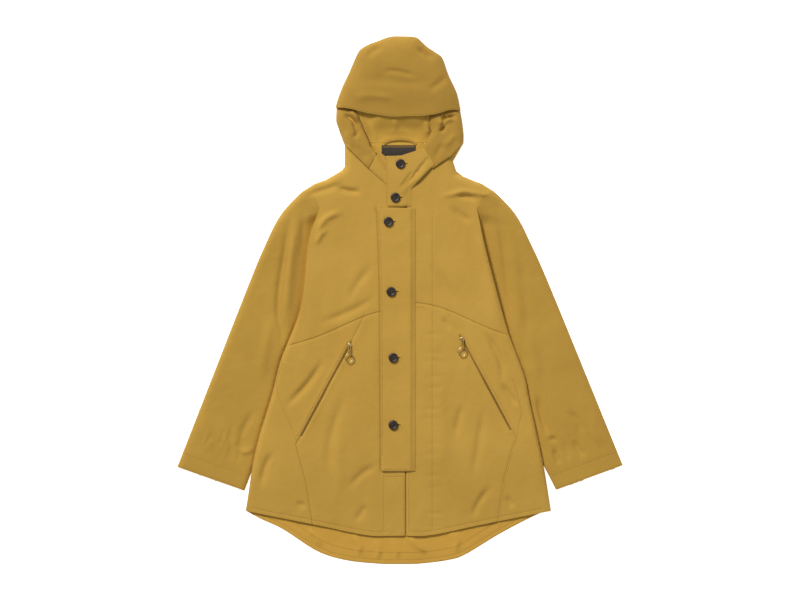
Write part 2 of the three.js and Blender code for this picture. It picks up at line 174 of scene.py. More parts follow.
# %% Woven cloth
WEAVE_DRAWN = 1.2 * MM   # drawn thread spacing; the real one is 0.4 mm
BAND_PERIOD = 0.314      # metres from band to band in a wave texture whose scale is 1
DYE_DRIFT = 9.0          # per metre: the shade drifts over about 110 mm
SLUBS = 420.0            # per metre: thick places in the yarn, a few millimetres long
CRUMPLES = 55.0          # per metre: the dents that handling leaves, about 18 mm across


def woven_cloth(name, light, dark, spacing=WEAVE_DRAWN, roughness=0.9, sheen=0.05, relief=0.12):
    """Cotton: two shades that wander, crossed threads as bump, and rough fibre ends."""
    material, tree = new_material(name)
    where = node(tree, "ShaderNodeTexCoord")
    cloud = node(tree, "ShaderNodeTexNoise", {"Scale": DYE_DRIFT, "Detail": 5.0, "Roughness": 0.6},
                 {"Vector": (where, "Object")})
    slub = node(tree, "ShaderNodeTexNoise", {"Scale": SLUBS, "Detail": 2.0}, {"Vector": (where, "Object")})
    mixed = node(tree, "ShaderNodeMath", {1: 0.35}, {0: (slub, "Fac")}, operation="MULTIPLY")
    shade = node(tree, "ShaderNodeMath", links={0: (cloud, "Fac"), 1: (mixed, "Value")}, operation="ADD")
    ramp = node(tree, "ShaderNodeValToRGB", links={"Fac": (shade, "Value")})
    ramp.color_ramp.elements[0].position, ramp.color_ramp.elements[0].color = 0.45, linear(dark)
    ramp.color_ramp.elements[1].position, ramp.color_ramp.elements[1].color = 0.90, linear(light)
    threads = []
    for direction in ("X", "Y"):
        threads.append(node(tree, "ShaderNodeTexWave",
                            {"Scale": BAND_PERIOD / spacing, "Distortion": 0.6, "Detail": 1.0,
                             "Detail Scale": 2.0},
                            {"Vector": (where, "Object")}, bands_direction=direction))
    weave = node(tree, "ShaderNodeMath", links={0: (threads[0], "Fac"), 1: (threads[1], "Fac")},
                 operation="MULTIPLY")
    crumple = node(tree, "ShaderNodeTexNoise", {"Scale": CRUMPLES, "Detail": 4.0, "Roughness": 0.55},
                   {"Vector": (where, "Object")})
    soft = node(tree, "ShaderNodeBump", {"Strength": 0.35, "Distance": 0.0022}, {"Height": (crumple, "Fac")})
    bump = node(tree, "ShaderNodeBump", {"Strength": relief, "Distance": 0.0005},
                {"Height": (weave, "Value"), "Normal": (soft, "Normal")})
    shader = node(tree, "ShaderNodeBsdfPrincipled",
                  {"Roughness": roughness, "IOR": 1.4, "Sheen Weight": sheen, "Sheen Roughness": 0.5},
                  {"Base Color": (ramp, "Color"), "Normal": (bump, "Normal")})
    finish_material(tree, shader)
    return material


# The shell: matt ochre whose shade drifts, so that a large plain area still looks like cloth
shell_cotton = woven_cloth("shell_poplin", "#C69C42", "#BC923B")
# The hood is the shell's cloth coloured browner: painted shade, as it faces away from the lamp
hood_cotton_shaded = woven_cloth("hood_poplin_shaded", "#B48B37", "#AA8331")
# The sleeves are the shell's cloth coloured a shade deeper: painted shade, as they lie below the body
sleeve_cotton_shaded = woven_cloth("sleeve_poplin_shaded", "#BE953C", "#B48B36")
# The wrong side has no finish on it: a warmer, drier yellow with the weave a little plainer
inside_cotton = woven_cloth("poplin_wrong_side", "#D0A040", "#C6973A", relief=0.14)
hood_lining = woven_cloth("hood_wrong_side", "#D1A441", "#C79B3D", relief=0.14)
# Pocketing is a thinner, greyer twill that nobody sees until the zip is open
pocket_twill = woven_cloth("pocketing_twill", "#A58343", "#98773A", spacing=0.9 * MM)
# Label tape is polyester satin: nearly black, smoother than the coat, with a dull shine
label_satin = woven_cloth("woven_label_tape", "#423A31", "#332C24", spacing=0.6 * MM, roughness=0.6)
# Zip tape is a dense polyester herringbone, darker than the shell, so the slit reads as a line
zip_tape_cloth = woven_cloth("polyester_zip_tape", "#A07A34", "#92702F", spacing=0.8 * MM)
# Core-spun sewing thread: a shade below the cloth and slightly glossier, so rows catch the eye close to
thread_poly = woven_cloth("sewing_thread", "#B08A40", "#A37E38", spacing=0.5 * MM, roughness=0.7)
print("cloths:", [m.name for m in bpy.data.materials])


# %% Resin, brass and the paper sweep
def solid_finish(name, light, dark, roughness, metallic=0.0, ior=1.5, scale=60.0, coat=0.0):
    """A moulded or cast surface: two close shades in soft clouds and a little unevenness in the gloss."""
    material, tree = new_material(name)
    where = node(tree, "ShaderNodeTexCoord")
    cloud = node(tree, "ShaderNodeTexNoise", {"Scale": scale, "Detail": 4.0}, {"Vector": (where, "Object")})
    ramp = node(tree, "ShaderNodeValToRGB", links={"Fac": (cloud, "Fac")})
    ramp.color_ramp.elements[0].position, ramp.color_ramp.elements[0].color = 0.35, linear(dark)
    ramp.color_ramp.elements[1].position, ramp.color_ramp.elements[1].color = 0.70, linear(light)
    gloss = node(tree, "ShaderNodeMapRange",
                 {"From Min": 0.3, "From Max": 0.7, "To Min": roughness * 0.8, "To Max": roughness * 1.25},
                 {"Value": (cloud, "Fac")})
    bump = node(tree, "ShaderNodeBump", {"Strength": 0.08, "Distance": 0.0003}, {"Height": (cloud, "Fac")})
    shader = node(tree, "ShaderNodeBsdfPrincipled",
                  {"Metallic": metallic, "IOR": ior, "Coat Weight": coat, "Coat Roughness": 0.15},
                  {"Base Color": (ramp, "Color"), "Roughness": (gloss, "Result"), "Normal": (bump, "Normal")})
    finish_material(tree, shader)
    return material


# Urea resin, IOR 1.5: dark horn brown, half polished, so the rim holds one soft highlight
button_resin = solid_finish("polished_urea_resin", "#3A3028", "#201915", 0.44, ior=1.5, scale=180)
# Brass plated and dulled: metallic 1, worn pale, rough enough to blur what it mirrors
aged_brass = solid_finish("antique_brass", "#E6D2A0", "#BDA26A", 0.36, metallic=1.0, scale=260)
# Matt white paper, lit from below as well, so it glows a little and shows no shade
PAPER_GLOW = 0.75
paper = solid_finish("paper_sweep", "#FFFFFF", "#FBFBFB", 0.9, scale=2)
paper_shader = paper.node_tree.nodes["Principled BSDF"]
paper_shader.inputs["Emission Color"].default_value = (1, 1, 1, 1)
paper_shader.inputs["Emission Strength"].default_value = PAPER_GLOW

FLOOR_SIZE, FLOOR_Z = 40, -0.0006   # metres; just clear of the lowest cloth
bpy.ops.mesh.primitive_plane_add(size=FLOOR_SIZE, location=(0, 0, FLOOR_Z))
floor = bpy.context.object
floor.name = "paper_floor"
floor.data.materials.append(paper)
print(len(bpy.data.materials), "finishes")

# %% [markdown]
# ## Cutting cloth
# A flat panel of cloth with folds is a height drawn over an outline: every point of the panel has one
# height, so a fold is a ridge added along a line. This is quicker and surer than a cloth simulation for a
# coat that someone has smoothed flat by hand, and neighbouring panels that share the height meet along
# their seam without a gap. `net` fills an outline with an even net of points, packs extra rows along the
# edge, where a sewn edge rolls over, and `panel` lifts each point to its height.


# %% Lines and distances
def smooth(points, count=8):
    """A Catmull-Rom curve through given points."""
    p = np.array(points, float)
    p = np.vstack([2 * p[0] - p[1], p, 2 * p[-1] - p[-2]])
    out = []
    for i in range(1, len(p) - 2):
        for t in np.linspace(0, 1, count, endpoint=False):
            a, b, c, d = p[i - 1:i + 3]
            out.append(0.5 * (2 * b + (c - a) * t + (2 * a - 5 * b + 4 * c - d) * t ** 2
                              + (3 * b - a - 3 * c + d) * t ** 3))
    out.append(p[-2])
    return [tuple(q) for q in out]


def to_line(x, y, line):
    """Each point's distance from a line, its side (left is positive), and how far along it is, 0 to 1."""
    p = np.array(line, float)
    steps = np.hypot(*(p[1:] - p[:-1]).T)
    total, start = steps.sum(), np.concatenate([[0], np.cumsum(steps)])[:-1]
    best = np.full(x.shape, 1e9)
    side, along = np.ones(x.shape), np.zeros(x.shape)
    for (ax, ay), (bx, by), length, before in zip(p[:-1], p[1:], steps, start):
        if length < 1e-9:
            continue
        ux, uy = (bx - ax) / length, (by - ay) / length
        t = np.clip((x - ax) * ux + (y - ay) * uy, 0, length)
        dx, dy = x - ax - ux * t, y - ay - uy * t
        d = np.hypot(dx, dy)
        closer = d < best
        best = np.where(closer, d, best)
        side = np.where(closer, np.where(ux * dy - uy * dx >= 0, 1.0, -1.0), side)
        along = np.where(closer, (before + t) / total, along)
    return best, best * side, along


def inside(x, y, outline):
    result = np.zeros(x.shape, bool)
    p = np.array(outline, float)
    for (ax, ay), (bx, by) in zip(p, np.roll(p, -1, axis=0)):
        if ay == by:
            continue
        crosses = (ay > y) != (by > y)
        result ^= crosses & (x < (bx - ax) * (y - ay) / (by - ay) + ax)
    return result


def stepped(t):
    t = np.clip(t, 0, 1)
    return t * t * (3 - 2 * t)


def rounded(d, width):
    """0 at an edge, rising as a quarter circle to 1 at the given distance."""
    t = np.clip(d / width, 0, 1)
    return np.sqrt(np.clip(1 - (1 - t) ** 2, 0, 1))


def fold(x, y, line, height, width, lean=0.0, taper=0.35):
    """A soft ridge (or valley, if the height is negative) along a line, steeper on one side if it leans."""
    d, side, along = to_line(x, y, line)
    ends = stepped(along / taper) * stepped((1 - along) / taper) if taper else 1.0
    s = side / width
    return height * np.exp(-s * s) * (1 + lean * s) * ends


RIPPLE_WAVES = 14


def ripple(x, y, seed, length, amount, stretch=(1.0, 1.0)):
    """Low random waves, as in cloth that was pressed flat but not ironed."""
    rng = np.random.default_rng(seed)
    total = np.zeros(x.shape)
    for _ in range(RIPPLE_WAVES):
        angle, phase = rng.uniform(0, 2 * math.pi, 2)
        wave = length * rng.uniform(0.6, 1.7)
        along = x * math.cos(angle) * stretch[0] + y * math.sin(angle) * stretch[1]
        wander = 0.8 * np.sin(2 * math.pi * (y - x) / (wave * 2.3) + phase * 2)
        total += np.sin(2 * math.pi * along / wave + phase + wander)
    return amount * total / 4


def level(z):
    """A height that is the same everywhere."""
    return lambda x, y: np.full(x.shape, z)


print("a curve through 3 points gets", len(smooth([(0, 0), (1, 1), (2, 0)])), "points")

# %% A net of points over an outline
EDGE_STEP = 3.2
NET_STEP = 4.6
SEAM_ROWS = (1.3, 3.4)   # extra rows of points beside an edge or seam, where cloth turns sharply


def resampled(line, step, closed=False):
    p = np.array(list(line) + ([line[0]] if closed else []), float)
    out = []
    for a, b in zip(p[:-1], p[1:]):
        count = max(1, int(round(np.hypot(*(b - a)) / step)))
        out += [tuple(a + (b - a) * k / count) for k in range(count)]
    return out if closed else out + [tuple(p[-1])]


def area_of(outline):
    p = np.array(outline)
    q = np.roll(p, -1, axis=0)
    return 0.5 * float((p[:, 0] * q[:, 1] - q[:, 0] * p[:, 1]).sum())


def beside(line, distance):
    """The same line moved sideways, to its left where the distance is positive."""
    p = np.array(line, float)
    way = np.gradient(p, axis=0)
    way /= np.maximum(np.hypot(*way.T), 1e-9)[:, None]
    return [tuple(q) for q in p + np.column_stack([-way[:, 1], way[:, 0]]) * distance]


def net(outline, seams=(), holes=(), step=NET_STEP, edge=EDGE_STEP, rows=SEAM_ROWS):
    """Triangles that fill an outline and follow its edge, its seams and its holes."""
    loops = [resampled(outline, edge, True)] + [resampled(h, edge * 0.4, True) for h in holes]
    strips = [resampled(s, edge) for s in seams]
    points, edges = [], []
    for line, closed in [(loop, True) for loop in loops] + [(strip, False) for strip in strips]:
        first, count = len(points), len(line)
        points += line
        edges += [(first + i, first + (i + 1) % count) for i in range(count if closed else count - 1)]
    lines = [loop + [loop[0]] for loop in loops] + strips

    def keep(candidates, least):
        c = np.array(candidates)
        ok = inside(c[:, 0], c[:, 1], outline)
        for hole in holes:
            ok &= ~inside(c[:, 0], c[:, 1], hole)
        for line in lines:
            ok[ok] = to_line(c[ok, 0], c[ok, 1], line)[0] > least
        return c[ok]

    extra = []
    for row in rows:
        for line in lines:
            extra.append(keep(beside(line, row) + beside(line, -row), row * 0.85))
    low, high = np.min(outline, axis=0), np.max(outline, axis=0)
    gx, gy = np.meshgrid(np.arange(low[0], high[0], step), np.arange(low[1], high[1], step * 0.866))
    gx = gx + (np.arange(gx.shape[0]) % 2)[:, None] * step / 2
    extra.append(keep(np.column_stack([gx.ravel(), gy.ravel()]), (rows[-1] if rows else 0) + step * 0.45))
    points += [tuple(p) for p in np.vstack(extra)]
    made = delaunay_2d_cdt([Vector(p) for p in points], edges, [], 0, 1e-4)
    flat = np.array([tuple(v) for v in made[0]])
    faces = np.array([list(f) for f in made[2]])
    middle = flat[faces].mean(axis=1)
    ok = inside(middle[:, 0], middle[:, 1], outline)
    for hole in holes:
        ok &= ~inside(middle[:, 0], middle[:, 1], hole)
    return flat, faces[ok]


print("a 100 mm square takes", len(net([(0, 0), (100, 0), (100, 100), (0, 100)])[1]), "triangles")


# %% A panel of cloth from a net
def new_object(name, vertices, faces, material, smooth_shade=True):
    mesh = bpy.data.meshes.new(name)
    mesh.from_pydata(vertices, [], faces)
    mesh.update()
    if smooth_shade:
        mesh.polygons.foreach_set("use_smooth", [True] * len(mesh.polygons))
    mesh.materials.append(material)
    piece = bpy.data.objects.new(name, mesh)
    bpy.context.scene.collection.objects.link(piece)
    return piece


def flat_rectangle(points):
    """The smallest rectangle around a panel as it lies."""
    best = None
    for angle in np.radians(np.arange(0, 90, 2)):
        c, s = math.cos(angle), math.sin(angle)
        turned = points @ np.array([[c, -s], [s, c]])
        size = turned.max(axis=0) - turned.min(axis=0)
        if best is None or size[0] * size[1] < best[0] * best[1]:
            best = size
    return float(best[0]) * MM, float(best[1]) * MM


def panel(name, flat, faces, height, material, thickness=0.8, skirt=None, free_edge=False):
    """One panel of cloth: the faces of a net lifted to height(x, y), with the cloth's thickness below."""
    corners = flat[faces]
    twice = ((corners[:, 1, 0] - corners[:, 0, 0]) * (corners[:, 2, 1] - corners[:, 0, 1])
             - (corners[:, 2, 0] - corners[:, 0, 0]) * (corners[:, 1, 1] - corners[:, 0, 1]))
    faces = np.where((twice > 0)[:, None], faces, faces[:, ::-1])[np.abs(twice) > 1e-6]
    used, faces = np.unique(faces, return_inverse=True)
    faces = faces.reshape(-1, 3)
    points = flat[used]
    z = height(points[:, 0], points[:, 1])
    vertices = [place(x, y, h) for (x, y), h in zip(points, z)]
    piece = new_object(name, vertices, [tuple(int(i) for i in f) for f in faces], material)
    if skirt is not None:
        add_skirt(piece, skirt)
    if not free_edge:
        keep_rim_crisp(piece.data)
    cloth = piece.modifiers.new("cloth thickness", "SOLIDIFY")
    cloth.thickness = thickness * MM
    cloth.offset = -1
    plan = float(np.abs(twice).sum()) / 2 * MM * MM
    cut = sum(face.area for face in piece.data.polygons)
    stretch = math.sqrt(cut / plan)
    piece["flat_area"] = cut
    piece["flat_width"], piece["flat_length"] = (side * stretch for side in flat_rectangle(points))
    return piece


def keep_rim_crisp(mesh):
    """Marks the outer edges sharp, so the cut edge of the cloth doesn't darken the shading beside it."""
    sides = np.zeros(len(mesh.loops), int)
    mesh.loops.foreach_get("edge_index", sides)
    on_rim = np.bincount(sides, minlength=len(mesh.edges)) == 1
    sharp = mesh.attributes.new("sharp_edge", "BOOLEAN", "EDGE")
    sharp.data.foreach_set("value", on_rim)


def add_skirt(piece, rule):
    """Turns the outer edge down to the layer below, where it runs along one of the rule's lines."""
    lines, floor_z, within = rule
    bm = bmesh.new()
    bm.from_mesh(piece.data)
    bm.verts.ensure_lookup_table()
    x = np.array([v.co.x for v in bm.verts]) / MM - middle_x
    y = np.array([v.co.y for v in bm.verts]) / MM - neck_y
    on_line = np.min([to_line(x, y, line)[0] for line in lines], axis=0) < within
    rim = [e for e in bm.edges if e.is_boundary and all(on_line[v.index] for v in e.verts)]
    made = bmesh.ops.extrude_edge_only(bm, edges=rim)["geom"]
    for v in (g for g in made if isinstance(g, bmesh.types.BMVert)):
        v.co.z = min(v.co.z, floor_z * MM)
    for face in bm.faces:
        face.smooth = True
    bm.to_mesh(piece.data)
    bm.free()


def near(lines, z, within=1.5):
    """A skirt's rule: the lines it runs along, the height it reaches, and how close the edge must be."""
    return lines, z, within


def groove(x, y, lines, depth, width):
    """Dips along sewn lines."""
    total = np.zeros(x.shape)
    for line in lines:
        d = to_line(x, y, line)[0]
        total -= depth * np.exp(-(d / width) ** 2)
    return total


def lay(piece, body=None, across=None, replaced=(), strip=None):
    """Attaches a sheet to its body, unless it spans two, hides the solids it stands for, and sizes a strip.
    """
    if across:
        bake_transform(piece)
    else:
        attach(piece, body)
    if replaced:
        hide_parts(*replaced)
    if strip:
        piece["flat_width"], piece["flat_length"] = strip * MM, piece["flat_area"] / (strip * MM)
    print(f"{piece.name}: {piece['flat_width'] * 1000:.0f} x {piece['flat_length'] * 1000:.0f} mm,",
          len(piece.data.polygons), "faces")


def fit(piece, body, slot, *replaced):
    """Attaches a rigid piece to its body and hides the solids it stands for; the slot argument is not used.
    """
    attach(piece, body)
    if replaced:
        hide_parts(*replaced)


# %% [markdown]
# ## Stitches
# Every sewn line on such a coat is a row of lockstitches, about 3 mm long, in thread of the cloth's
# colour. The cloth is drawn down along the row. Here the panel dips along the line, and each stitch is a
# small rounded bar of thread laid on the dip, so the row reads both as a shadow and, close to, as thread.

# %% Rows of stitches
STITCH = 2.6         # the part of a stitch that lies on the cloth
STITCH_PITCH = 3.5   # drawn a little longer than the real 3 mm, so that single stitches can be told apart
THREAD = 0.55


def stitch_ring(row):
    """Four places along each stitch of a row, and the stitch's direction."""
    p = np.array(row, float)
    at = np.concatenate([[0], np.cumsum(np.hypot(*(p[1:] - p[:-1]).T))])
    begin = np.arange(min(1.0, at[-1] * 0.1), max(at[-1] - STITCH, 0.2), STITCH_PITCH)
    length = min(STITCH, at[-1] * 0.9)
    s = begin[:, None] + np.array([0.0, 0.3, 0.7, 1.0]) * length
    x, y = np.interp(s, at, p[:, 0]), np.interp(s, at, p[:, 1])
    way = np.column_stack([x[:, -1] - x[:, 0], y[:, -1] - y[:, 0]])
    way /= np.maximum(np.hypot(*way.T), 1e-9)[:, None]
    return x, y, way


def stitches(name, rows, height, body=None, across=None, lift=0.1):
    rings = [stitch_ring(row) for row in rows]
    x, y = np.vstack([r[0] for r in rings]), np.vstack([r[1] for r in rings])
    way = np.vstack([r[2] for r in rings])
    z = height(x.ravel(), y.ravel()).reshape(x.shape) + lift
    half = THREAD / 2 * np.array([0.35, 1.0, 1.0, 0.35])
    vertices, faces = [], []
    for i in range(len(x)):
        first = len(vertices)
        for k in range(4):
            for side, up in ((-1, 0), (0, 1), (1, 0), (0, -1)):
                off = half[k] * side
                vertices.append(place(x[i, k] - way[i, 1] * off, y[i, k] + way[i, 0] * off,
                                      z[i, k] + half[k] * (1 + 1.2 * up)))
        for a in (first, first + 4, first + 8):
            faces += [(a + j, a + (j + 1) % 4, a + (j + 1) % 4 + 4, a + j + 4) for j in range(4)]
        faces.append((first, first + 3, first + 2, first + 1))
        faces.append((first + 12, first + 13, first + 14, first + 15))
    piece = new_object(name, vertices, faces, thread_poly)
    if across:
        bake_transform(piece)
    else:
        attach(piece, body)
    return piece


# %% [markdown]
# ## The height of the body
# One function gives the front's height everywhere, so that yoke, centre and side panels meet. The front
# floats on the air and lining inside: about 17 mm at the chest, sinking towards the hem, and turning down
# steeply at the side seams, where the body lies on the sleeve. The folds are those of this coat as it was
# smoothed: long soft creases from the armholes and pockets, and drag lines from the neck.

# %% Body lines
SIDES = {"right": -1, "left": 1}
SIDE_LINE = {
    -1: smooth([(165, -144), (188, -215), (204, -350), (246, -459), (266, -536), (300, -652), (321, -780)]),
    1: smooth([(165, -144), (183, -226), (227, -390), (265, -492), (276, -545), (303, -671), (321, -780)]),
}
HEM_Y = -832
FRONT_HEM = smooth([(321, -780), (180, -808), (67, -831), (0, HEM_Y)])
TAIL_HEM = {
    -1: smooth([(319, -781), (290, -797), (243, -819), (171, -865), (111, -884), (45, -891.5), (0, -892.5)]),
    1: smooth([(319, -781), (292, -788), (216, -827), (143, -871), (107, -883.5), (45, -891.5), (0, -892.5)]),
}
ARMHOLE = [(200, -107), (176, -118), (164, -144)]
NECKLINE = {
    -1: [(15.3, -100), (-24, -86), (-56, -52), (-104, -4), (-113, -12)],
    1: [(16.2, -118), (20, -100), (66, -46), (108, -16), (130, -2), (137, -7)],
}
SHOULDER = {
    -1: [(-113, -12), (-113, -56), (-119, -64), (-153, -84), (-176, -92), (-200, -107)],
    1: [(137, -7), (115, -45), (124, -71), (162, -87), (176, -92), (200, -107)],
}
RIGHT_FRONT_DROP = 13   # the wearer's right front lies this much lower than the left
ZIP_TOP = np.array([118.0, -418.0])
ZIP_WAY = np.array([math.cos(math.radians(61.8)), -math.sin(math.radians(61.8))])
ZIP_FROM, ZIP_TO, ZIP_SEWN_TO = -8, 217, 237   # along the zip, from the top of its slit


def on_front(points, sign):
    """A front's own point, measured from the opening line, in the coat's coordinates."""
    return [(x * sign + OPENING_X, y - (RIGHT_FRONT_DROP if sign < 0 else 0)) for x, y in points]


def along_zip(distance, aside=0.0):
    return tuple(ZIP_TOP + ZIP_WAY * distance + np.array([-ZIP_WAY[1], ZIP_WAY[0]]) * aside)


FLAP_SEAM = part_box("storm_flap")[1].x / MM - middle_x
FLAP_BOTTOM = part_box("storm_flap")[0].y / MM - neck_y - 3
FLAP_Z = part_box("storm_flap")[1].z / MM
FLAP_TOP = -143.4
flap_left = smooth([(-45, FLAP_TOP), (-42, -180), (-38, -300), (-36.5, -500), (-36, FLAP_BOTTOM)], 6)

ZIP_END = along_zip(ZIP_SEWN_TO)
YOKE_SEAM = [(-40, -340), (20, -343), (60, -350), (100, -364), (165, -393), (206, -408), (330, -444)]
POCKET_SEAM = [(87, -356), (89, -361), (94, -372), tuple(ZIP_TOP), ZIP_END,
               (ZIP_END[0] - 22, ZIP_END[1] - 82), (ZIP_END[0] - 34, ZIP_END[1] - 160), (190, -850)]
print("zip seam ends at", [round(v) for v in ZIP_END])

# %% Body folds: line, height, width, lean
BODY_FOLDS = [
    ([(-134, -100), (-101, -109), (-75, -110)], -2.2, 6, 0.3),
    ([(-206, -121), (-153, -105), (-109, -90)], -1.4, 8, 0.3),
    ([(-111, -149), (-143, -159), (-162, -176), (-172, -210)], 1.6, 8, 0.4),
    ([(-147, -185), (-164, -201), (-174, -222)], 1.4, 6, 0.3),
    ([(-43, -325), (-75, -346), (-118, -367), (-171, -386)], -1.1, 9, 0.2),
    ([(-48, -255), (-91, -311), (-104, -346)], -0.9, 10, 0.0),
    ([(-155, -457), (-185, -504), (-214, -537), (-239, -562)], -1.8, 8, 0.4),
    ([(-109, -522), (-143, -627), (-147, -718)], -0.9, 11, 0.2),
    ([(-38, -679), (-79, -703), (-109, -737)], -1.0, 9, 0.2),
    ([(-66, -765), (-91, -805)], -0.9, 8, 0.0),
    ([(-263, -651), (-281, -688), (-290, -735)], -1.4, 8, 0.3),
    ([(-214, -762), (-193, -772)], -1.0, 7, 0.0),
    ([(-118, -590), (-126, -660), (-120, -760)], 0.7, 16, 0.0),
    ([(84, -121), (111, -116), (138, -110), (176, -116), (202, -118)], 1.5, 6, 0.5),
    ([(120, -122), (143, -120), (168, -128)], -1.4, 6, 0.3),
    ([(106, -137), (132, -161), (160, -172)], -1.1, 9, 0.2),
    ([(67, -256), (111, -329), (122, -363)], -0.8, 10, 0.2),
    ([(92, -373), (111, -400)], -1.0, 6, 0.2),
    ([(176, -400), (191, -421), (213, -464), (220, -514)], -1.6, 8, 0.4),
    ([(214, -510), (235, -541), (250, -562)], -1.4, 7, 0.3),
    ([(226, -747), (242, -774)], -1.2, 7, 0.0),
    ([(195, -725), (167, -765), (155, -799)], -1.3, 8, 0.2),
    ([(134, -550), (127, -583), (118, -627)], -0.9, 9, 0.2),
    ([(180, -556), (168, -640), (155, -719)], -1.0, 10, 0.2),
    ([(78, -470), (92, -600), (84, -740)], 0.6, 18, 0.0),
    ([(160, -140), (173, -205), (192, -290), (206, -350), (228, -420)], 1.9, 15, 0.0),
]
PUCKERS = [([(42 + y % 13, y), (92 + y % 19, y - 5 + (y % 11))], -0.14 - 0.05 * (y % 4), 4.5, 0.0)
           for y in (-410, -447, -462, -498, -521, -566, -583, -640, -662, -707, -731, -748, -786, -812)]


FOLD_DEPTH, FOLD_WIDTH = 3.2, 0.78   # how sharply this cotton creases


def add_folds(x, y, folds):
    total = np.zeros(x.shape)
    for line, height, width, lean in folds:
        height, width = height * FOLD_DEPTH, width * FOLD_WIDTH
        p = np.array(line)
        reach = width * 3
        close = ((x > p[:, 0].min() - reach) & (x < p[:, 0].max() + reach)
                 & (y > p[:, 1].min() - reach) & (y < p[:, 1].max() + reach))
        if close.any():
            total[close] += fold(x[close], y[close], smooth(line, 6), height, width, lean)
    return total


print(len(BODY_FOLDS), "folds and", len(PUCKERS), "puckers on the front")


def side_gap(x, y):
    """Distance inside the body's side edges."""
    right, left = (np.interp(-y, [-b for a, b in SIDE_LINE[sign]], [a for a, b in SIDE_LINE[sign]])
                   for sign in (-1, 1))
    return (np.where(x < 0, right, left) - np.abs(x)) * 0.94


HEM_SINK, HEM_REACH = 10.8, 190   # the hem lies this much lower than the chest, over this length
CHEST_Z = FRONT_TOP - 1.3
SHOULDER_Z, SHOULDER_ROLL = 4.5, 16
SIDE_ROLL = 9


def hem_sink(y):
    return HEM_SINK * (1 - stepped((y - HEM_Y) / HEM_REACH))


def body_height(x, y):
    z = CHEST_Z + ripple(x, y, 3, 170, 0.8, (1.3, 0.7)) + ripple(x, y, 4, 52, 0.28, (1.2, 0.8))
    z += add_folds(x, y, BODY_FOLDS + PUCKERS)
    z -= hem_sink(y)
    for sign in (-1, 1):
        line = SHOULDER[sign] + [(sign * 246, -155)]
        z = SHOULDER_Z + (z - SHOULDER_Z) * rounded(to_line(x, y, line)[0], SHOULDER_ROLL)
    fade = stepped((-138 - y) / 70)
    edge = rounded(side_gap(x, y), SIDE_ROLL)
    wall = np.minimum(z, 7.5 + 10.5 * (1 - stepped((-y - 300) / 200)))
    return z - fade * (z - wall) * (1 - edge)


# %% [markdown]
# ## The back, the tail and its facing
# The coat's back is the lowest layer. Only the fishtail shows, past the front hem, with its wrong side
# up: the cloth looks a little warmer there, because no finish has been put on it. It was cut in a yoke
# and one long panel.

# %% Back panels
TAIL_FOLDS = [
    ([(-104, -826), (-84, -852), (-82, -878)], 1.5, 6, 0.4),
    ([(-47, -838), (-42, -862), (-44, -884)], 1.3, 6, 0.4),
    ([(-12, -838), (-4, -862), (-4, -884)], 1.0, 6, 0.3),
    ([(14, -832), (36, -850), (62, -872)], 1.6, 7, 0.4),
    ([(104, -822), (122, -842), (118, -872)], 1.1, 8, 0.3),
    ([(-190, -815), (-160, -856)], 1.0, 8, 0.3),
]
tail_line = [(-x, y) for x, y in TAIL_HEM[-1]] + TAIL_HEM[1][::-1][1:]
HEM_STITCH = 9   # from the hem's edge to its row of stitches
FACING_SET_BACK, FACING_DEPTH = 1.5, 26
TAIL_STITCH = beside(tail_line, HEM_STITCH)
FACING_LINE = beside(tail_line, FACING_DEPTH)
TAIL_Z, BACK_Z = 1.5, 1.3


def tail_height(x, y):
    z = TAIL_Z + add_folds(x, y, TAIL_FOLDS) + ripple(x, y, 8, 60, 0.2)
    return np.maximum(z + groove(x, y, [TAIL_STITCH], 0.35, 1.2), 1.0)


inset_right, inset_left = ([(x - 4, y) for x, y in SIDE_LINE[sign]] for sign in (-1, 1))
back_outline = ([(-60, -30), (-110, -30), (-112, -58), (-150, -86), (-190, -106), (-176, -124)]
                + [(-x, y) for x, y in inset_right] + tail_line + inset_left[::-1]
                + [(176, -124), (190, -106), (150, -86), (112, -58), (110, -30), (60, -30)])
YOKE_BACK_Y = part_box("back_yoke")[0].y / MM - neck_y
tail_net = net(back_outline, [TAIL_STITCH, [(-260, YOKE_BACK_Y), (260, YOKE_BACK_Y)], FACING_LINE],
               step=9.0, edge=4.5)
middles = tail_net[0][tail_net[1]].mean(axis=1)
is_yoke = middles[:, 1] > YOKE_BACK_Y
lay(panel("back_yoke_cloth", tail_net[0], tail_net[1][is_yoke], level(BACK_Z), inside_cotton),
    "torso", replaced=["back_yoke"])
lay(panel("back_panel_cloth", tail_net[0], tail_net[1][~is_yoke], tail_height, inside_cotton),
    "torso", replaced=["back_panel"])
stitches("tail_stitches", [TAIL_STITCH], tail_height, "torso")

# %% Hem facing
facing_outline = beside(tail_line, FACING_SET_BACK)[2:-2] + FACING_LINE[2:-2][::-1]
facing_net = net(facing_outline, [TAIL_STITCH[3:-3]], step=5.0, edge=3.5)
facing_z = lambda x, y: tail_height(x, y) + 0.75
lay(panel("tail_facing", *facing_net, facing_z, inside_cotton, thickness=0.6),
    "torso", replaced=["back_hem_facing"], strip=FACING_DEPTH - FACING_SET_BACK)
facing_rows = [beside(tail_line, FACING_DEPTH - FACING_SET_BACK)[3:-3], TAIL_STITCH[3:-3]]
stitches("tail_facing_stitches", facing_rows, facing_z, "torso")

# %% [markdown]
# ## The fronts
# Each front is cut in three: a yoke over the chest, a centre panel and a side panel. The zip pocket is
# set in the seam between the last two. The net of points is made once for the whole front, with the seams
# as edges in it, and then its triangles are shared out to the three panels, so neighbours match to the
# thread.

# %% Front panels
def front_outline(sign):
    hem = [p for p in FRONT_HEM if p[0] > 22]
    opening = OPENING_X + sign * 0.5
    outer = [(sign * x, y) for x, y in [(176, -118)] + SIDE_LINE[sign] + hem]
    return NECKLINE[sign][:-1] + SHOULDER[sign] + outer + [(opening, HEM_Y)]


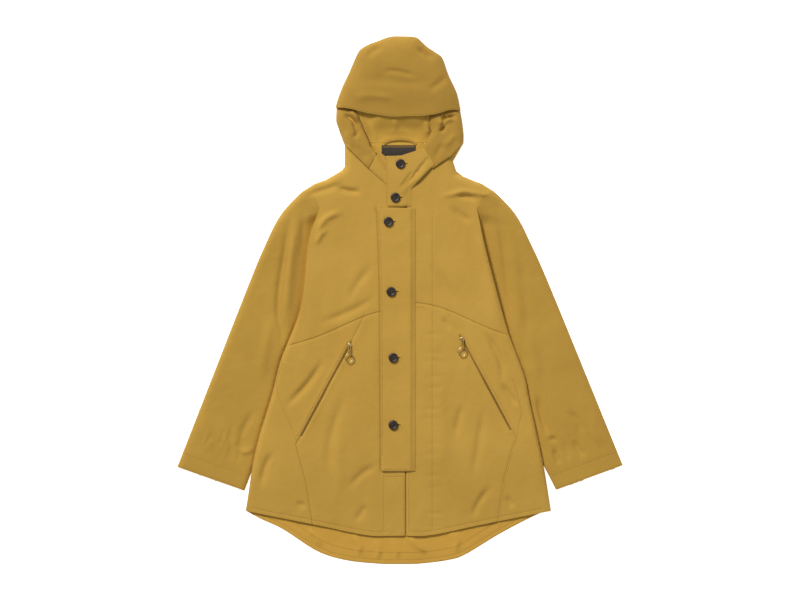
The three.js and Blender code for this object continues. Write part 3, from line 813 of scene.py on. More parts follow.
POCKET_FACING = {
    -1: [(-242, -466), (-256, -516), (-242, -564), (-227, -598), (-213, -634)],
    1: [(240, -500), (258, -567), (255, -590), (249, -625), (246, -640)],
}


def front_lines(sign):
    """Rows of stitches on one front."""
    hem = beside([(sign * x, y) for x, y in FRONT_HEM if x > 18], -sign * HEM_STITCH)
    rows = [hem[1:], smooth(POCKET_FACING[sign], 5)]
    if sign > 0:
        rows += [[(71, -150), (71, -822)], [(OPENING_X + 6, -703), (OPENING_X + 6, -822)]]
    else:
        rows += [[(-31, -703), (-31, -822)], [(-31, -707), (OPENING_X - 3, -707)],
                 [(OPENING_X - 4, -707), (OPENING_X - 4, -822)]]
    return rows


def build_front(side, sign):
    yoke_seam = smooth(on_front(YOKE_SEAM, sign), 5)
    pocket_seam = on_front(POCKET_SEAM, sign)
    slot = on_front([along_zip(ZIP_FROM, -0.5), along_zip(ZIP_TO, -0.5), along_zip(ZIP_TO, 0.5),
                     along_zip(ZIP_FROM, 0.5)], sign)
    rows = front_lines(sign)
    opening = [(OPENING_X, -90), (OPENING_X, -840)]
    seam_end = pocket_seam[3:]
    welt = on_front([along_zip(ZIP_FROM, 7), along_zip(ZIP_TO + 6, 7)], sign)
    pressed = [beside(flap_left, -1.0)] if sign < 0 else []

    def height(x, y):
        z = body_height(x, y) + groove(x, y, pressed, 2.2, 1.3)
        z += groove(x, y, [yoke_seam], 0.9, 1.6) + groove(x, y, [seam_end, pocket_seam[:4]], 1.1, 1.6)
        z += groove(x, y, rows[:2], 0.45, 1.1) + groove(x, y, rows[2:], 0.22, 1.1)
        z += groove(x, y, [opening], 2.4, 1.5)
        d = to_line(x, y, [slot[0], slot[1]])[0]
        return z + 0.9 * np.exp(-((d - 5) / 4.5) ** 2) - 1.3 * np.exp(-(d / 1.8) ** 2)

    flat, faces = net(front_outline(sign), [yoke_seam, pocket_seam] + rows + pressed, [slot])
    middle = flat[faces].mean(axis=1)
    x, y = middle[:, 0], middle[:, 1]
    above = to_line(x, y, yoke_seam)[1] * sign > 0
    outer = to_line(x, y, pocket_seam)[1] * sign > 0
    edge_lines = [[(sign * a, b) for a, b in SIDE_LINE[sign]], SHOULDER[sign]]
    skirt = near(edge_lines, 1.4)
    for name, chosen in (("yoke", above), ("centre_panel", ~above & ~outer), ("side_panel", ~above & outer)):
        node_name = f"front_{name}_{side}"
        piece = panel(node_name + "_cloth", flat, faces[chosen], height, shell_cotton, skirt=skirt)
        lay(piece, "torso", replaced=[node_name])
    seam_rows = [beside(yoke_seam, sign * 2.2), beside(pocket_seam[3:], sign * 2.2), welt]
    trimmed = [[p for p in resampled(row, 4) if side_gap(np.array([p[0]]), np.array([p[1]]))[0] > 6
                and p[1] > -820] for row in seam_rows]
    stitches(f"front_stitches_{side}", rows + [t for t in trimmed if len(t) > 1], height, "torso")


for side, sign in SIDES.items():
    build_front(side, sign)

# %% [markdown]
# ## Sleeves
# A sleeve lies beside the body and a little under it, so its deepest shade is along the body's edge. It
# rises slowly out of that valley and rolls over at its outer edge. It turns at the armhole: near the
# shoulder the sleeve takes the body's height, further down its own, and between the two the heights are
# blended, as a real underarm gives.

# %% Sleeve lines and folds
PIVOT = np.array([206.0, -180.0])
SLEEVE_LENGTH, CUFF_BAND, CUFF_HALF = 565, 34, 75
SLEEVE_ANGLE = {-1: 19.5, 1: 20.3}
SLEEVE_FOLDS = {
    -1: [
        ([(-217, -144), (-230, -177), (-241, -249), (-251, -311), (-253, -365), (-246, -405), (-249, -459)],
         -1.9, 9, 0.4),
        ([(-214, -140), (-220, -200), (-229, -270), (-236, -350), (-250, -420)], 1.7, 13, 0.0),
        ([(-206, -150), (-200, -190), (-202, -250)], -1.2, 8, 0.3),
        ([(-262, -360), (-280, -440), (-292, -520)], 1.0, 14, 0.0),
        ([(-300, -560), (-330, -620), (-338, -690)], -1.2, 9, 0.3),
        ([(-360, -600), (-352, -640), (-362, -680)], -0.9, 7, 0.3),
        ([(-300, -640), (-318, -655), (-340, -650)], 0.9, 6, 0.3),
        ([(-400, -560), (-404, -610), (-392, -660)], 0.7, 12, 0.0),
    ],
    1: [
        ([(202, -137), (218, -218), (227, -298), (232, -352), (239, -388)], -1.9, 10, 0.3),
        ([(246, -190), (262, -290), (270, -400), (282, -470)], -0.7, 13, 0.2),
        ([(291, -531), (300, -583), (318, -627)], -1.8, 7, 0.4),
        ([(315, -628), (334, -631)], -1.5, 5, 0.2),
        ([(324, -648), (340, -685)], -1.5, 6, 0.3),
        ([(352, -571), (374, -587), (389, -621)], -1.1, 7, 0.3),
        ([(365, -630), (392, -669)], -1.1, 7, 0.2),
        ([(262, -380), (282, -450), (300, -520)], 0.9, 14, 0.0),
        ([(410, -570), (412, -610), (424, -650)], 0.7, 11, 0.0),
    ],
}
VALLEY = {-1: 32, 1: 58}   # how wide the shade beside the body is, in millimetres
SLEEVE_Z, SLEEVE_EDGE_Z, SLEEVE_ROLL = 13.2, 1.8, 13
VALLEY_TOP, ARMHOLE_SHARE = -112, 40
print("sleeve folds:", len(SLEEVE_FOLDS[-1]), "right,", len(SLEEVE_FOLDS[1]), "left")


def sleeve_point(sign, along, out):
    angle = math.radians(SLEEVE_ANGLE[sign])
    way = np.array([math.sin(angle), -math.cos(angle)])
    across = np.array([math.cos(angle), math.sin(angle)])
    x, y = PIVOT + way * along + across * out
    return sign * float(x), float(y)


def sleeve_lines(sign):
    outer = smooth([(sign * 176, -92), (sign * 200, -107), (sign * 246, -155), (sign * 279, -218),
                    sleeve_point(sign, SLEEVE_LENGTH * 0.3, 62),
                    sleeve_point(sign, SLEEVE_LENGTH, CUFF_HALF)])
    inner = [(sign * (x - 9), y) for x, y in SIDE_LINE[sign] if y > -660]
    return outer, inner + [sleeve_point(sign, SLEEVE_LENGTH, -CUFF_HALF)]


def cuff_creases(sign):
    """Short creases that run up from the cuff's stitches."""
    creases = []
    for k, out in enumerate((-60, -44, -25, -8, 9, 30, 47)):
        top = sleeve_point(sign, 425 + 23 * (k % 3), out)
        bottom = sleeve_point(sign, 502 + 9 * (k % 4), out + (5 if k % 2 else -4))
        creases.append(([top, bottom], -0.32 - 0.12 * (k % 3), 4.2, 0.2))
    return creases


def sleeve_height(sign):
    creases = SLEEVE_FOLDS[sign] + cuff_creases(sign)
    outer, inner = sleeve_lines(sign)
    edge = [(sign * x, y) for x, y in SIDE_LINE[sign] if y > -690]
    edge.append(sleeve_point(sign, SLEEVE_LENGTH, -CUFF_HALF))

    def height(x, y):
        top = SLEEVE_Z - 3.6 * stepped((-y - 120) / 160) - 3.0 * stepped((-y - 420) / 300)
        top = top + ripple(x, y, 20 + sign, 120, 0.45) + ripple(x, y, 30 + sign, 40, 0.16)
        top += add_folds(x, y, creases)
        d_out = to_line(x, y, outer)[0]
        z = SLEEVE_EDGE_Z + (top - SLEEVE_EDGE_Z) * rounded(d_out, SLEEVE_ROLL)
        d_in, side, _ = to_line(x, y, edge)
        beyond = np.where(side * sign > 0, d_in, 0)
        band = stepped((-y - 140) / 40) * (1 - stepped((-y - 300) / 140))
        width = 9 + (VALLEY[sign] - 9) * band
        depth = stepped((VALLEY_TOP - y) / 50)
        low = 2.0 + 6.5 * (1 - depth)
        valley = low + (z - low) * rounded(beyond, width) ** (1 + 1.9 * band)
        z = np.where(y > VALLEY_TOP, z, np.minimum(z, valley))
        d_seam = to_line(x, y, [(sign * a, b) for a, b in ARMHOLE])[0]
        own = stepped(d_seam / ARMHOLE_SHARE)
        under = 1.1 * stepped((-140 - y) / 8)
        return z * own + (body_height(x, y) - under) * (1 - own)

    return height, outer, inner


# %% Sleeves and cuffs
UNDER_Z = 1.0


def build_sleeve(side, sign):
    height, outer, inner = sleeve_height(sign)
    tuck = [(sign * x, y) for x, y in ARMHOLE] + [(sign * 158, -150)]
    cuff_in = sleeve_point(sign, SLEEVE_LENGTH, -CUFF_HALF)
    outline = ([p for p in outer if p[1] < -108] + [cuff_in]
               + [p for p in inner[::-1][1:] if p[1] < -158] + tuck[::-1])
    cuff_seam = [sleeve_point(sign, SLEEVE_LENGTH - CUFF_BAND, out) for out in (-110, 110)]
    cuff_rows = [[sleeve_point(sign, SLEEVE_LENGTH - back, out) for out in (-72, 72)]
                 for back in (CUFF_BAND - 2.5, 3)]
    body_name = f"sleeve_{side}"
    across = ("torso", body_name, (sign * 185, -125, 8), (sign * 250, -260, 8))

    def dipped(x, y):
        return height(x, y) + groove(x, y, [cuff_seam], 0.2, 1.5) + groove(x, y, cuff_rows, 0.2, 1.1)

    flat, faces = net(outline, [cuff_seam] + cuff_rows)
    middle = flat[faces].mean(axis=1)
    in_cuff = to_line(middle[:, 0], middle[:, 1], cuff_seam)[1] * sign < 0
    skirt = near([outer, [inner[-2], inner[-1]]], 1.3)
    upper = panel(f"sleeve_upper_{side}_cloth", flat, faces[~in_cuff], dipped, sleeve_cotton_shaded, skirt=skirt)
    lay(upper, across=across, replaced=[f"sleeve_upper_{side}"])
    cuff = panel(f"cuff_upper_{side}_cloth", flat, faces[in_cuff], dipped, sleeve_cotton_shaded, thickness=1.2,
                 skirt=skirt)
    lay(cuff, body_name, replaced=[f"cuff_upper_{side}"])
    stitches(f"cuff_stitches_{side}", cuff_rows, dipped, body_name)
    under = net(outline, [cuff_seam], step=10, edge=6)
    middle = under[0][under[1]].mean(axis=1)
    low_cuff = to_line(middle[:, 0], middle[:, 1], cuff_seam)[1] * sign < 0
    lower = panel(f"sleeve_under_{side}_cloth", under[0], under[1][~low_cuff], level(UNDER_Z),
                  sleeve_cotton_shaded, thickness=0.6)
    lay(lower, across=across, replaced=[f"sleeve_under_{side}"])
    lower = panel(f"cuff_under_{side}_cloth", under[0], under[1][low_cuff], level(UNDER_Z),
                  inside_cotton, thickness=0.6)
    lay(lower, body_name, replaced=[f"cuff_under_{side}"])


for side, sign in SIDES.items():
    build_sleeve(side, sign)

# %% [markdown]
# ## The storm flap and the throat latch
# The flap is two layers of cloth sewn to the wearer's left front and buttoned to the right, so it lies on
# both. Its buttonholes are slits worked with close stitches. The latch is the end of the collar, buttoned
# across the throat.

# %% Storm flap
LATCH_BUTTONS = ["button_1", "button_2"]
FLAP_BUTTONS = ["button_3", "button_4", "button_5", "button_6"]
SLIT_BEFORE, SLIT_AFTER, SLIT_HALF = 4, 15.5, 0.9   # the button sits near one end of its slit


def slit(button):
    x, y, _ = centre_of(button)
    left, right, half = x - SLIT_BEFORE, x + SLIT_AFTER, SLIT_HALF
    return [(left, y - half), (right - 1, y - half), (right, y), (right - 1, y + half), (left, y + half)]


def worked_hole(x, y, slits):
    """A buttonhole's rim stands a little proud of the cloth."""
    total = np.zeros(x.shape)
    for hole in slits:
        d = to_line(x, y, hole + [hole[0]])[0]
        total += 0.55 * np.exp(-((d - 1.2) / 1.0) ** 2)
    return total


flap_outline = flap_left + [(FLAP_SEAM, FLAP_BOTTOM), (FLAP_SEAM, FLAP_TOP)]
flap_slits = [slit(b) for b in FLAP_BUTTONS]
flap_rows = [beside(flap_left, 3.0)[1:-1], [(-30, FLAP_BOTTOM + 4), (26, FLAP_BOTTOM + 4)],
             [(27.3, -146), (27.3, FLAP_BOTTOM + 2)],
             [(FLAP_SEAM - 1.2, -146), (FLAP_SEAM - 1.2, FLAP_BOTTOM + 2)]]


def flap_height(x, y):
    z = FLAP_Z - 0.75 + ripple(x, y, 41, 110, 0.35) + ripple(x, y, 42, 38, 0.12)
    z -= hem_sink(y) * 0.8
    seam = stepped((FLAP_SEAM - x) / 13)
    z = z * seam + (body_height(x, y) + 0.3) * (1 - seam)
    d = to_line(x, y, flap_left + [(FLAP_SEAM, FLAP_BOTTOM)])[0]
    z -= 1.7 * seam * (1 - rounded(d, 2.4))
    return z + groove(x, y, flap_rows, 0.28, 1.1) + worked_hole(x, y, flap_slits)


flap_across = ("torso", "storm_flap", (FLAP_SEAM + 1, -400, 20), (24, -400, 20))
flap_net = net(flap_outline, flap_rows, flap_slits, step=4.2)
flap = panel("storm_flap_cloth", *flap_net, flap_height, shell_cotton, thickness=1.5, free_edge=True)
lay(flap, across=flap_across, replaced=["storm_flap"])
stitches("storm_flap_stitches", flap_rows, flap_height, across=flap_across)

# %% Throat latch and the collar's ends
latch_outline = [(-26, -34), (-8.6, -34), (7.3, -33), (37.6, -23), (54, -18), (76, -52), (66, -62),
                 (27, -104), (27, -139.5), (7, -141), (-22, -141), (-25, -136)]
LATCH_FOLDS = [
    ([(68, -30), (40, -66), (4, -110)], -1.5, 2.9, 0.3),
    ([(74, -42), (48, -74), (16, -108)], 0.6, 3.4, 0.3),
    ([(32, -62), (16, -86), (0, -106)], -1.1, 2.9, 0.2),
    ([(27, -100), (14, -118), (8, -134)], -0.5, 6.0, 0.2),
]
latch_slits = [slit(b) for b in LATCH_BUTTONS]
latch_rows = [[(-23.2, -38), (-23.2, -134)], [(-21, -138), (24, -137)],
              [(-22, -37), (6, -36), (36, -26), (50, -22)]]


def latch_height(x, y):
    z = FLAP_Z + 0.2 + ripple(x, y, 45, 60, 0.3) + add_folds(x, y, LATCH_FOLDS)
    sewn = stepped((x - 9) / 16) * stepped((-y - 84) / 24)
    z = z * (1 - sewn) + (body_height(x, y) + 0.15) * sewn
    edge = latch_outline[-1:] + latch_outline[:5]
    d = to_line(x, y, edge)[0]
    bottom = to_line(x, y, latch_outline[8:])[0]
    z -= (1.7 * (1 - rounded(d, 2.4)) + 1.2 * (1 - rounded(bottom, 2.4))) * (1 - sewn)
    return z + groove(x, y, latch_rows, 0.25, 1.1) + worked_hole(x, y, latch_slits)


latch_across = ("torso", "throat_latch", (45, -90, 20), (18, -90, 20))
latch_net = net(latch_outline, latch_rows, latch_slits, step=3.4)
latch = panel("throat_latch_cloth", *latch_net, latch_height, shell_cotton, thickness=1.4, free_edge=True)
lay(latch, across=latch_across, replaced=["throat_latch", "collar_front_left"])
stitches("throat_latch_stitches", latch_rows, latch_height, across=latch_across)

collar_outline = [(-66, -52), (-50, -22), (-38, -27), (-22, -38), (0, -44), (0, -106), (-27, -93), (-61, -62)]
collar_rows = [[(-58, -60), (-28, -88)]]
COLLAR_CREASE = [(-52, -20), (-46, -28), (-25, -61), (-4, -92)]


def collar_height(x, y):
    crease, side, _ = to_line(x, y, COLLAR_CREASE)
    e = to_line(x, y, [(0, -106), (-27, -93), (-61, -62)])[0]
    z = FRONT_TOP + 0.9 + 0.8 * np.exp(-((crease - 6) / 5) ** 2) - 3.8 * np.exp(-(crease / 2.4) ** 2)
    z -= 3.5 * stepped(side / 14)
    return z - 1.0 * (1 - rounded(e, 2.5)) + groove(x, y, collar_rows, 0.25, 1.1)


collar_net = net(collar_outline, collar_rows + [COLLAR_CREASE[1:-1]], step=3.0)
collar = panel("collar_front_right_cloth", *collar_net, collar_height, shell_cotton, free_edge=True)
lay(collar, "torso", replaced=["collar_front_right"])
stitches("collar_stitches", collar_rows, collar_height, "torso")

# %% [markdown]
# ## The hood
# The hood lies on its back with its crown pushed up, like a bowl on its side: a low dome whose front
# edge, the brim, stands clear of the face opening. The cheeks are the hood's front edges, folded over
# beside the opening and gathered where they meet the collar. Under them, the inside of the hood's back
# shows behind the label.

# %% Crown and brim
CROWN_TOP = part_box("hood_brim")[1].z / MM - 9
CROWN_EDGE = [(131, 62), (123, 99), (105, 138), (93, 172), (80, 183), (62, 195), (50, 206), (37, 216),
              (10, 218), (-18, 217), (-46, 207), (-62, 201), (-82, 188), (-96, 159), (-106, 136),
              (-117, 113), (-128, 84), (-132, 68)]
BRIM_EDGE = smooth([(-132, 68), (-103, 65), (-72, 57), (-43, 52), (-14, 48), (19, 49), (53, 50), (82, 54),
                    (109, 62), (131, 62)], 5)
crown_line = smooth(CROWN_EDGE, 4)
BRIM_DEPTH = 38
CROWN_RIM_Z, DOME_ROLL = 9, 55
brim_seam = [(x, y + BRIM_DEPTH)
             for x, y in smooth([(-140, 70), (-72, 57), (-14, 48), (53, 50), (140, 64)], 8)]
crown_seams = [[(-38, 60), (-38, 225)], [(29, 60), (31, 225)]]
CROWN_FOLDS = [
    ([(37, 193), (62, 175), (73, 167)], -1.8, 6, 0.2),
    ([(-38, 137), (-12, 143), (45, 131)], -1.0, 6, 0.2),
    ([(-90, 120), (-40, 126), (20, 118), (90, 124)], -0.8, 14, 0.0),
    ([(-100, 84), (-60, 90), (0, 84)], 0.8, 10, 0.2),
    ([(60, 100), (90, 120), (104, 140)], -1.0, 9, 0.2),
    ([(-70, 170), (-50, 186), (-30, 196)], -1.0, 8, 0.2),
]


def crown_height(x, y):
    d = to_line(x, y, crown_line)[0]
    rise = CROWN_TOP - CROWN_RIM_Z - 7.0 * (1 - stepped((y - 46) / 70))
    z = CROWN_RIM_Z + rise * rounded(d, DOME_ROLL) ** 0.8
    z += add_folds(x, y, CROWN_FOLDS) * np.clip(d / 12, 0, 1) + ripple(x, y, 51, 70, 0.5)
    return z + groove(x, y, crown_seams, 0.08, 1.6)


crown_outline = crown_line + BRIM_EDGE[1:-1]
brim_row = beside(BRIM_EDGE, 3.0)[2:-2]
flat, faces = net(crown_outline, crown_seams + [brim_seam, brim_row], step=4.0)
middle = flat[faces].mean(axis=1)
in_brim = to_line(middle[:, 0], middle[:, 1], brim_seam)[1] < 0
crown_skirt = near([crown_line], 1.6)
CROWN_PANELS = (
    ("hood_side_right_cloth", ~in_brim & (middle[:, 0] < -38), ["hood_side_right"]),
    ("hood_centre_panel_cloth", ~in_brim & (middle[:, 0] > -38) & (middle[:, 0] < 30), ["hood_centre_panel"]),
    ("hood_side_left_cloth", ~in_brim & (middle[:, 0] > 30), ["hood_side_left"]),
    ("hood_brim_cloth", in_brim, ["hood_brim"]),
)
for name, chosen, replaced in CROWN_PANELS:
    piece = panel(name, flat, faces[chosen], crown_height, hood_cotton_shaded, skirt=crown_skirt)
    lay(piece, "hood", replaced=replaced)
edge_row = [p for p in brim_row if inside(np.array([p[0]]), np.array([p[1]]), crown_outline)[0]]
stitches("crown_stitches", [edge_row], crown_height, "hood")

# %% The hood's back, seen through the face opening
hood_back_outline = ([(-106, -50), (-106, -20), (-116, 0), (-126, 40), (-126, 70)]
                     + [(x * 0.96, y * 0.97) for x, y in crown_line[::-1]][2:-2]
                     + [(126, 70), (128, 40), (120, 0), (108, -20), (112, -48), (60, -66), (-60, -66)])
BACK_FOLDS = [
    ([(-10, 47), (-6, 30), (0, 20)], 0.9, 5, 0.3),
    ([(55, 48), (60, 30), (61, 8)], 1.7, 3.4, 0.3),
    ([(-60, 40), (-50, 10), (-46, -10)], 0.9, 6, 0.2),
    ([(-30, 14), (0, 18), (34, 12)], 0.6, 7, 0.2),
]


def hood_back_height(x, y):
    d = to_line(x, y, crown_line)[0]
    swell = 12.5 * stepped((y - 2) / 52) * (1 - stepped((y - 110) / 60)) * rounded(d - 16, 40)
    middle = (1 - stepped((np.abs(x) - 38) / 24)) * (1 - stepped((y - 90) / 50))
    swell += 6.5 * stepped((y - 18) / 34) * middle
    return np.maximum(2.4 + swell + ripple(x, y, 55, 50, 0.4) + add_folds(x, y, BACK_FOLDS), 1.2)


hood_across = ("torso", "hood", (0, -30, 3), (0, 40, 3))
hood_back = panel("hood_back_cloth", *net(hood_back_outline, step=5.5), hood_back_height, hood_lining)
lay(hood_back, across=hood_across)

# %% Cheeks and collar wings
CHEEK = {
    -1: [(-119, 86), (-130, 68), (-131, 39), (-122, 12), (-113, -11), (-62, -61), (-45, -29), (-59, -13),
         (-67, 9), (-75, 29), (-79, 43), (-81, 58), (-84, 84)],
    1: [(117, 86), (130, 62), (135, 34), (137.5, 11), (137, -7), (113, -33), (71.6, -61), (49.6, -22),
        (52, -14), (60, -3), (70, 17), (66, 34), (62, 50), (60, 78)],
}
CHEEK_SILHOUETTE = {-1: CHEEK[-1][1:5], 1: CHEEK[1][1:5]}
CHEEK_INNER = {-1: CHEEK[-1][6:], 1: CHEEK[1][7:]}
CHEEK_FOLDS = {
    -1: [
        ([(-116, 55), (-97, 40), (-86, 24)], -2.8, 5, 0.5),
        ([(-97, 39), (-87, 15), (-97, 3)], -2.6, 5, 0.4),
        ([(-104, 62), (-92, 52), (-82, 36)], 1.8, 5, 0.4),
        ([(-112, 20), (-104, 0), (-92, -16)], 0.9, 8, 0.2),
        ([(-90, -10), (-74, -30), (-66, -46)], -0.8, 7, 0.2),
    ],
    1: [
        ([(88, 38), (109, 47), (126, 47)], -2.8, 5, 0.5),
        ([(105, 34), (90, 19), (103, 26)], -2.6, 5, 0.3),
        ([(95, 56), (95, 30)], -2.4, 4, 0.3),
        ([(80, 30), (98, 40), (120, 42)], 1.8, 5, 0.4),
        ([(122, 16), (108, -2), (92, -16)], 0.9, 8, 0.2),
        ([(96, -6), (82, -26), (76, -44)], -0.8, 7, 0.2),
    ],
}


CHEEK_Z, CHEEK_EDGE_Z, CHEEK_ROLL = 20.3, 6.5, 17


def build_cheek(side, sign):
    outline, inner = CHEEK[sign], CHEEK_INNER[sign]
    lower = outline[4:7] if sign < 0 else outline[4:8]
    row = [beside(smooth(inner, 4), sign * 5)[4:-4]]

    def height(x, y):
        z = CHEEK_Z + ripple(x, y, 60 + sign, 50, 0.4) + add_folds(x, y, CHEEK_FOLDS[sign])
        roll = rounded(to_line(x, y, smooth(CHEEK_SILHOUETTE[sign], 4))[0], CHEEK_ROLL)
        z = CHEEK_EDGE_Z + (z - CHEEK_EDGE_Z) * roll - 6.0 * stepped((y - 48) / 22) * roll
        upper = stepped((y + 20) / 60)
        z -= (2.5 + 7.5 * upper) * (1 - rounded(to_line(x, y, smooth(inner, 4))[0], 9 + 12 * upper))
        z -= 0.9 * (1 - rounded(to_line(x, y, lower)[0], 2.5))
        return z + groove(x, y, row, 0.4, 1.2)

    piece = panel(f"hood_cheek_{side}_cloth", *net(outline, row, step=3.6), height, hood_cotton_shaded,
                  thickness=1.2, skirt=near([CHEEK_SILHOUETTE[sign]], 1.6, 3.0), free_edge=True)
    across = ("torso", "hood", (0, -26, 20), (0, 44, 20))
    lay(piece, across=across, replaced=[f"hood_cheek_{side}", f"collar_wing_{side}"])
    stitches(f"hood_cheek_stitches_{side}", row, height, across=across)


for side, sign in SIDES.items():
    build_cheek(side, sign)

# %% [markdown]
# ## Neck band, label and hanger loop
# Inside the neck, a band covers the hood seam. A dark woven tape is sewn on it as a label, and it is left
# blank here except for its woven border. Above it a narrow arch of folded cloth takes the hook.

# %% Inside the neck
BAND_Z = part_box("inner_neck_band")[1].z / MM
band_outline = [(-96, -6), (-50, -2), (50, -2), (96, -6), (96, -40), (50, -62), (-50, -62), (-96, -40)]
band_z = lambda x, y: 3.5 + (BAND_Z - 3.5) * stepped((-y - 1) / 20) + ripple(x, y, 65, 40, 0.15)
band = panel("inner_neck_band_cloth", *net(band_outline, step=5), band_z, hood_lining, thickness=0.9)
lay(band, "torso", replaced=["inner_neck_band"])
band_row = [(-90, -8), (-48, -4.5), (48, -4.5), (90, -8)]
stitches("neck_band_stitches", [band_row], band_z, "torso")

label_low, label_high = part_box("neck_label")
lx0, ly0 = label_low.x / MM - middle_x - 6, label_low.y / MM - neck_y
lx1, ly1 = label_high.x / MM - middle_x, label_high.y / MM - neck_y
label_z = lambda x, y: label_high.z / MM + 0.25 * np.sin((x - lx0) / (lx1 - lx0) * math.pi)
label_outline = [(lx0, ly0), (lx1, ly0), (lx1 + 0.6, ly1), (lx0 - 0.6, ly1)]
label = panel("neck_label_tape", *net(label_outline, step=2.5, edge=2.0), label_z, label_satin, thickness=0.7)
lay(label, "torso", replaced=["neck_label"])
border_outline = [(lx0 + 1, ly1 - 4.2), (lx1 - 1, ly1 - 4.2), (lx1 - 1, ly1 - 2.8), (lx0 + 1, ly1 - 2.8)]
border = panel("neck_label_border", *net(border_outline, step=2, edge=2.0, rows=()),
               lambda x, y: label_z(x, y) + 0.25, zip_tape_cloth, thickness=0.3)
fit(border, "torso", "label_cloth")

loop_line = smooth([(-30, -9), (-22, -3), (-8, 0.5), (3.5, 1.5), (15, 0.5), (29, -3), (37, -9)], 6)
loop_outline = beside(loop_line, 2.1) + beside(loop_line, -2.1)[::-1]
loop_z = lambda x, y: BAND_Z + 1.6 + 1.6 * np.exp(-((x - 3.5) / 20) ** 2)
loop = panel("hanger_loop_tape", *net(loop_outline, step=1.6, edge=1.6, rows=()), loop_z, hood_cotton_shaded,
             thickness=1.2)
fit(loop, "torso", "facing_cloth", "hanger_loop")

# %% [markdown]
# ## Buttons
# Six sewn-through buttons of dark moulded resin, 20 mm across: a dished face inside a rounded rim, four
# holes, and two bars of thread. They are turned shapes, so the height depends only on the distance from
# the middle.

# %% Six buttons
BUTTON_HALF = 10.0
RIM_ROLL, RIM_DROP = 1.6, 1.3
DISH_DEPTH, DISH_HALF = 0.9, 5.2
HOLE_RADIUS, HOLE_REACH = 1.05, 1.75


def circle(x, y, radius, count, first=0.0):
    return [(x + radius * math.cos(first + 2 * math.pi * k / count),
             y + radius * math.sin(first + 2 * math.pi * k / count)) for k in range(count)]


for number, button_name in enumerate(LATCH_BUTTONS + FLAP_BUTTONS):
    bx, by, _ = centre_of(button_name)
    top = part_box(button_name)[1].z / MM

    def button_height(x, y, bx=bx, by=by, top=top):
        r = np.hypot(x - bx, y - by)
        rim = rounded(BUTTON_HALF - r, RIM_ROLL)
        dish = DISH_DEPTH * (1 - stepped((r - DISH_HALF) / 1.8))
        return top - RIM_DROP * (1 - rim) - dish

    turn = math.radians(12 * number - 25)
    corners = circle(bx, by, HOLE_REACH * math.sqrt(2), 4, turn + math.pi / 4)
    holes = [circle(cx, cy, HOLE_RADIUS, 10) for cx, cy in corners]
    face = net(circle(bx, by, BUTTON_HALF, 64), holes=holes, step=1.1, edge=1.0, rows=(0.5,))
    button = panel(button_name + "_resin", *face, button_height, button_resin, thickness=2.0)
    fit(button, "torso", "button_horn", button_name)
    sewn = [[corners[0], corners[1]], [corners[2], corners[3]]]
    bars = [[(a[0] * 1.3 - b[0] * 0.3, a[1] * 1.3 - b[1] * 0.3),
             (b[0] * 1.3 - a[0] * 0.3, b[1] * 1.3 - a[1] * 0.3)] for a, b in sewn]
    stitches(button_name + "_thread", bars, level(top - DISH_DEPTH), "torso")
print("buttons:", LATCH_BUTTONS + FLAP_BUTTONS)

# %% [markdown]
# ## Pocket zips
# Each pocket closes with a coil zip behind the slit: a woven tape, a spiral of nylon coils, and a cast
# slider. A short loop of cord holds a brass ring, large enough for a gloved finger. The coils are a loop
# that repeats a tooth.

# %% Zips, sliders and rings
COIL_PITCH = 1.8
TAPE_HALF = 11
TOOTH_HALF, TOOTH_HEIGHT = (1.25, 0.6), 1.5


def zip_ways(sign):
    """Unit directions across a zip and along it."""
    return (-ZIP_WAY[1], ZIP_WAY[0] * sign), (ZIP_WAY[0] * sign, ZIP_WAY[1])


def box_mesh(vertices, faces, corner, ux, uy, size, low, high, chamfer=0.0):
    """Adds a block: its middle, two unit directions, its half sizes, and its heights."""
    first = len(vertices)
    for z, inset in ((low, 0), (high - chamfer, 0), (high, chamfer)):
        for a, b in ((-1, -1), (1, -1), (1, 1), (-1, 1)):
            sx, sy = a * (size[0] - inset), b * (size[1] - inset)
            vertices.append(place(corner[0] + ux[0] * sx + uy[0] * sy,
                                  corner[1] + ux[1] * sx + uy[1] * sy, z))
    faces.append((first + 3, first + 2, first + 1, first))
    faces.append((first + 8, first + 9, first + 10, first + 11))
    for level in (0, 4):
        for k in range(4):
            a, b = first + level + k, first + level + (k + 1) % 4
            faces.append((a, b, b + 4, a + 4))


def build_zip(side, sign):
    ux, uy = zip_ways(sign)
    tape_line = on_front([along_zip(ZIP_FROM + 1), along_zip(ZIP_TO - 1)], sign)
    tape_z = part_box(f"pocket_zip_{side}")[0].z / MM + 0.6
    start, end = np.array(tape_line[0]), np.array(tape_line[1])
    outline = beside(tape_line, TAPE_HALF) + beside(tape_line, -TAPE_HALF)[::-1]
    tape = panel(f"pocket_zip_{side}_tape", *net(outline, step=6, edge=6, rows=()), level(tape_z),
                 zip_tape_cloth, thickness=0.6)
    lay(tape, "torso", replaced=[f"pocket_zip_{side}"])
    vertices, faces = [], []
    count = int(np.hypot(*(end - start)) / COIL_PITCH)
    for k in range(count):
        at = start + (end - start) * (k + 0.5) / count
        for half in (-1, 1):
            middle = (at[0] + ux[0] * half, at[1] + ux[1] * half)
            box_mesh(vertices, faces, middle, ux, uy, TOOTH_HALF, tape_z, tape_z + TOOTH_HEIGHT, 0.3)
    coil = new_object(f"pocket_zip_{side}_coil", vertices, faces, zip_tape_cloth, False)
    fit(coil, "torso", "zip_tape")


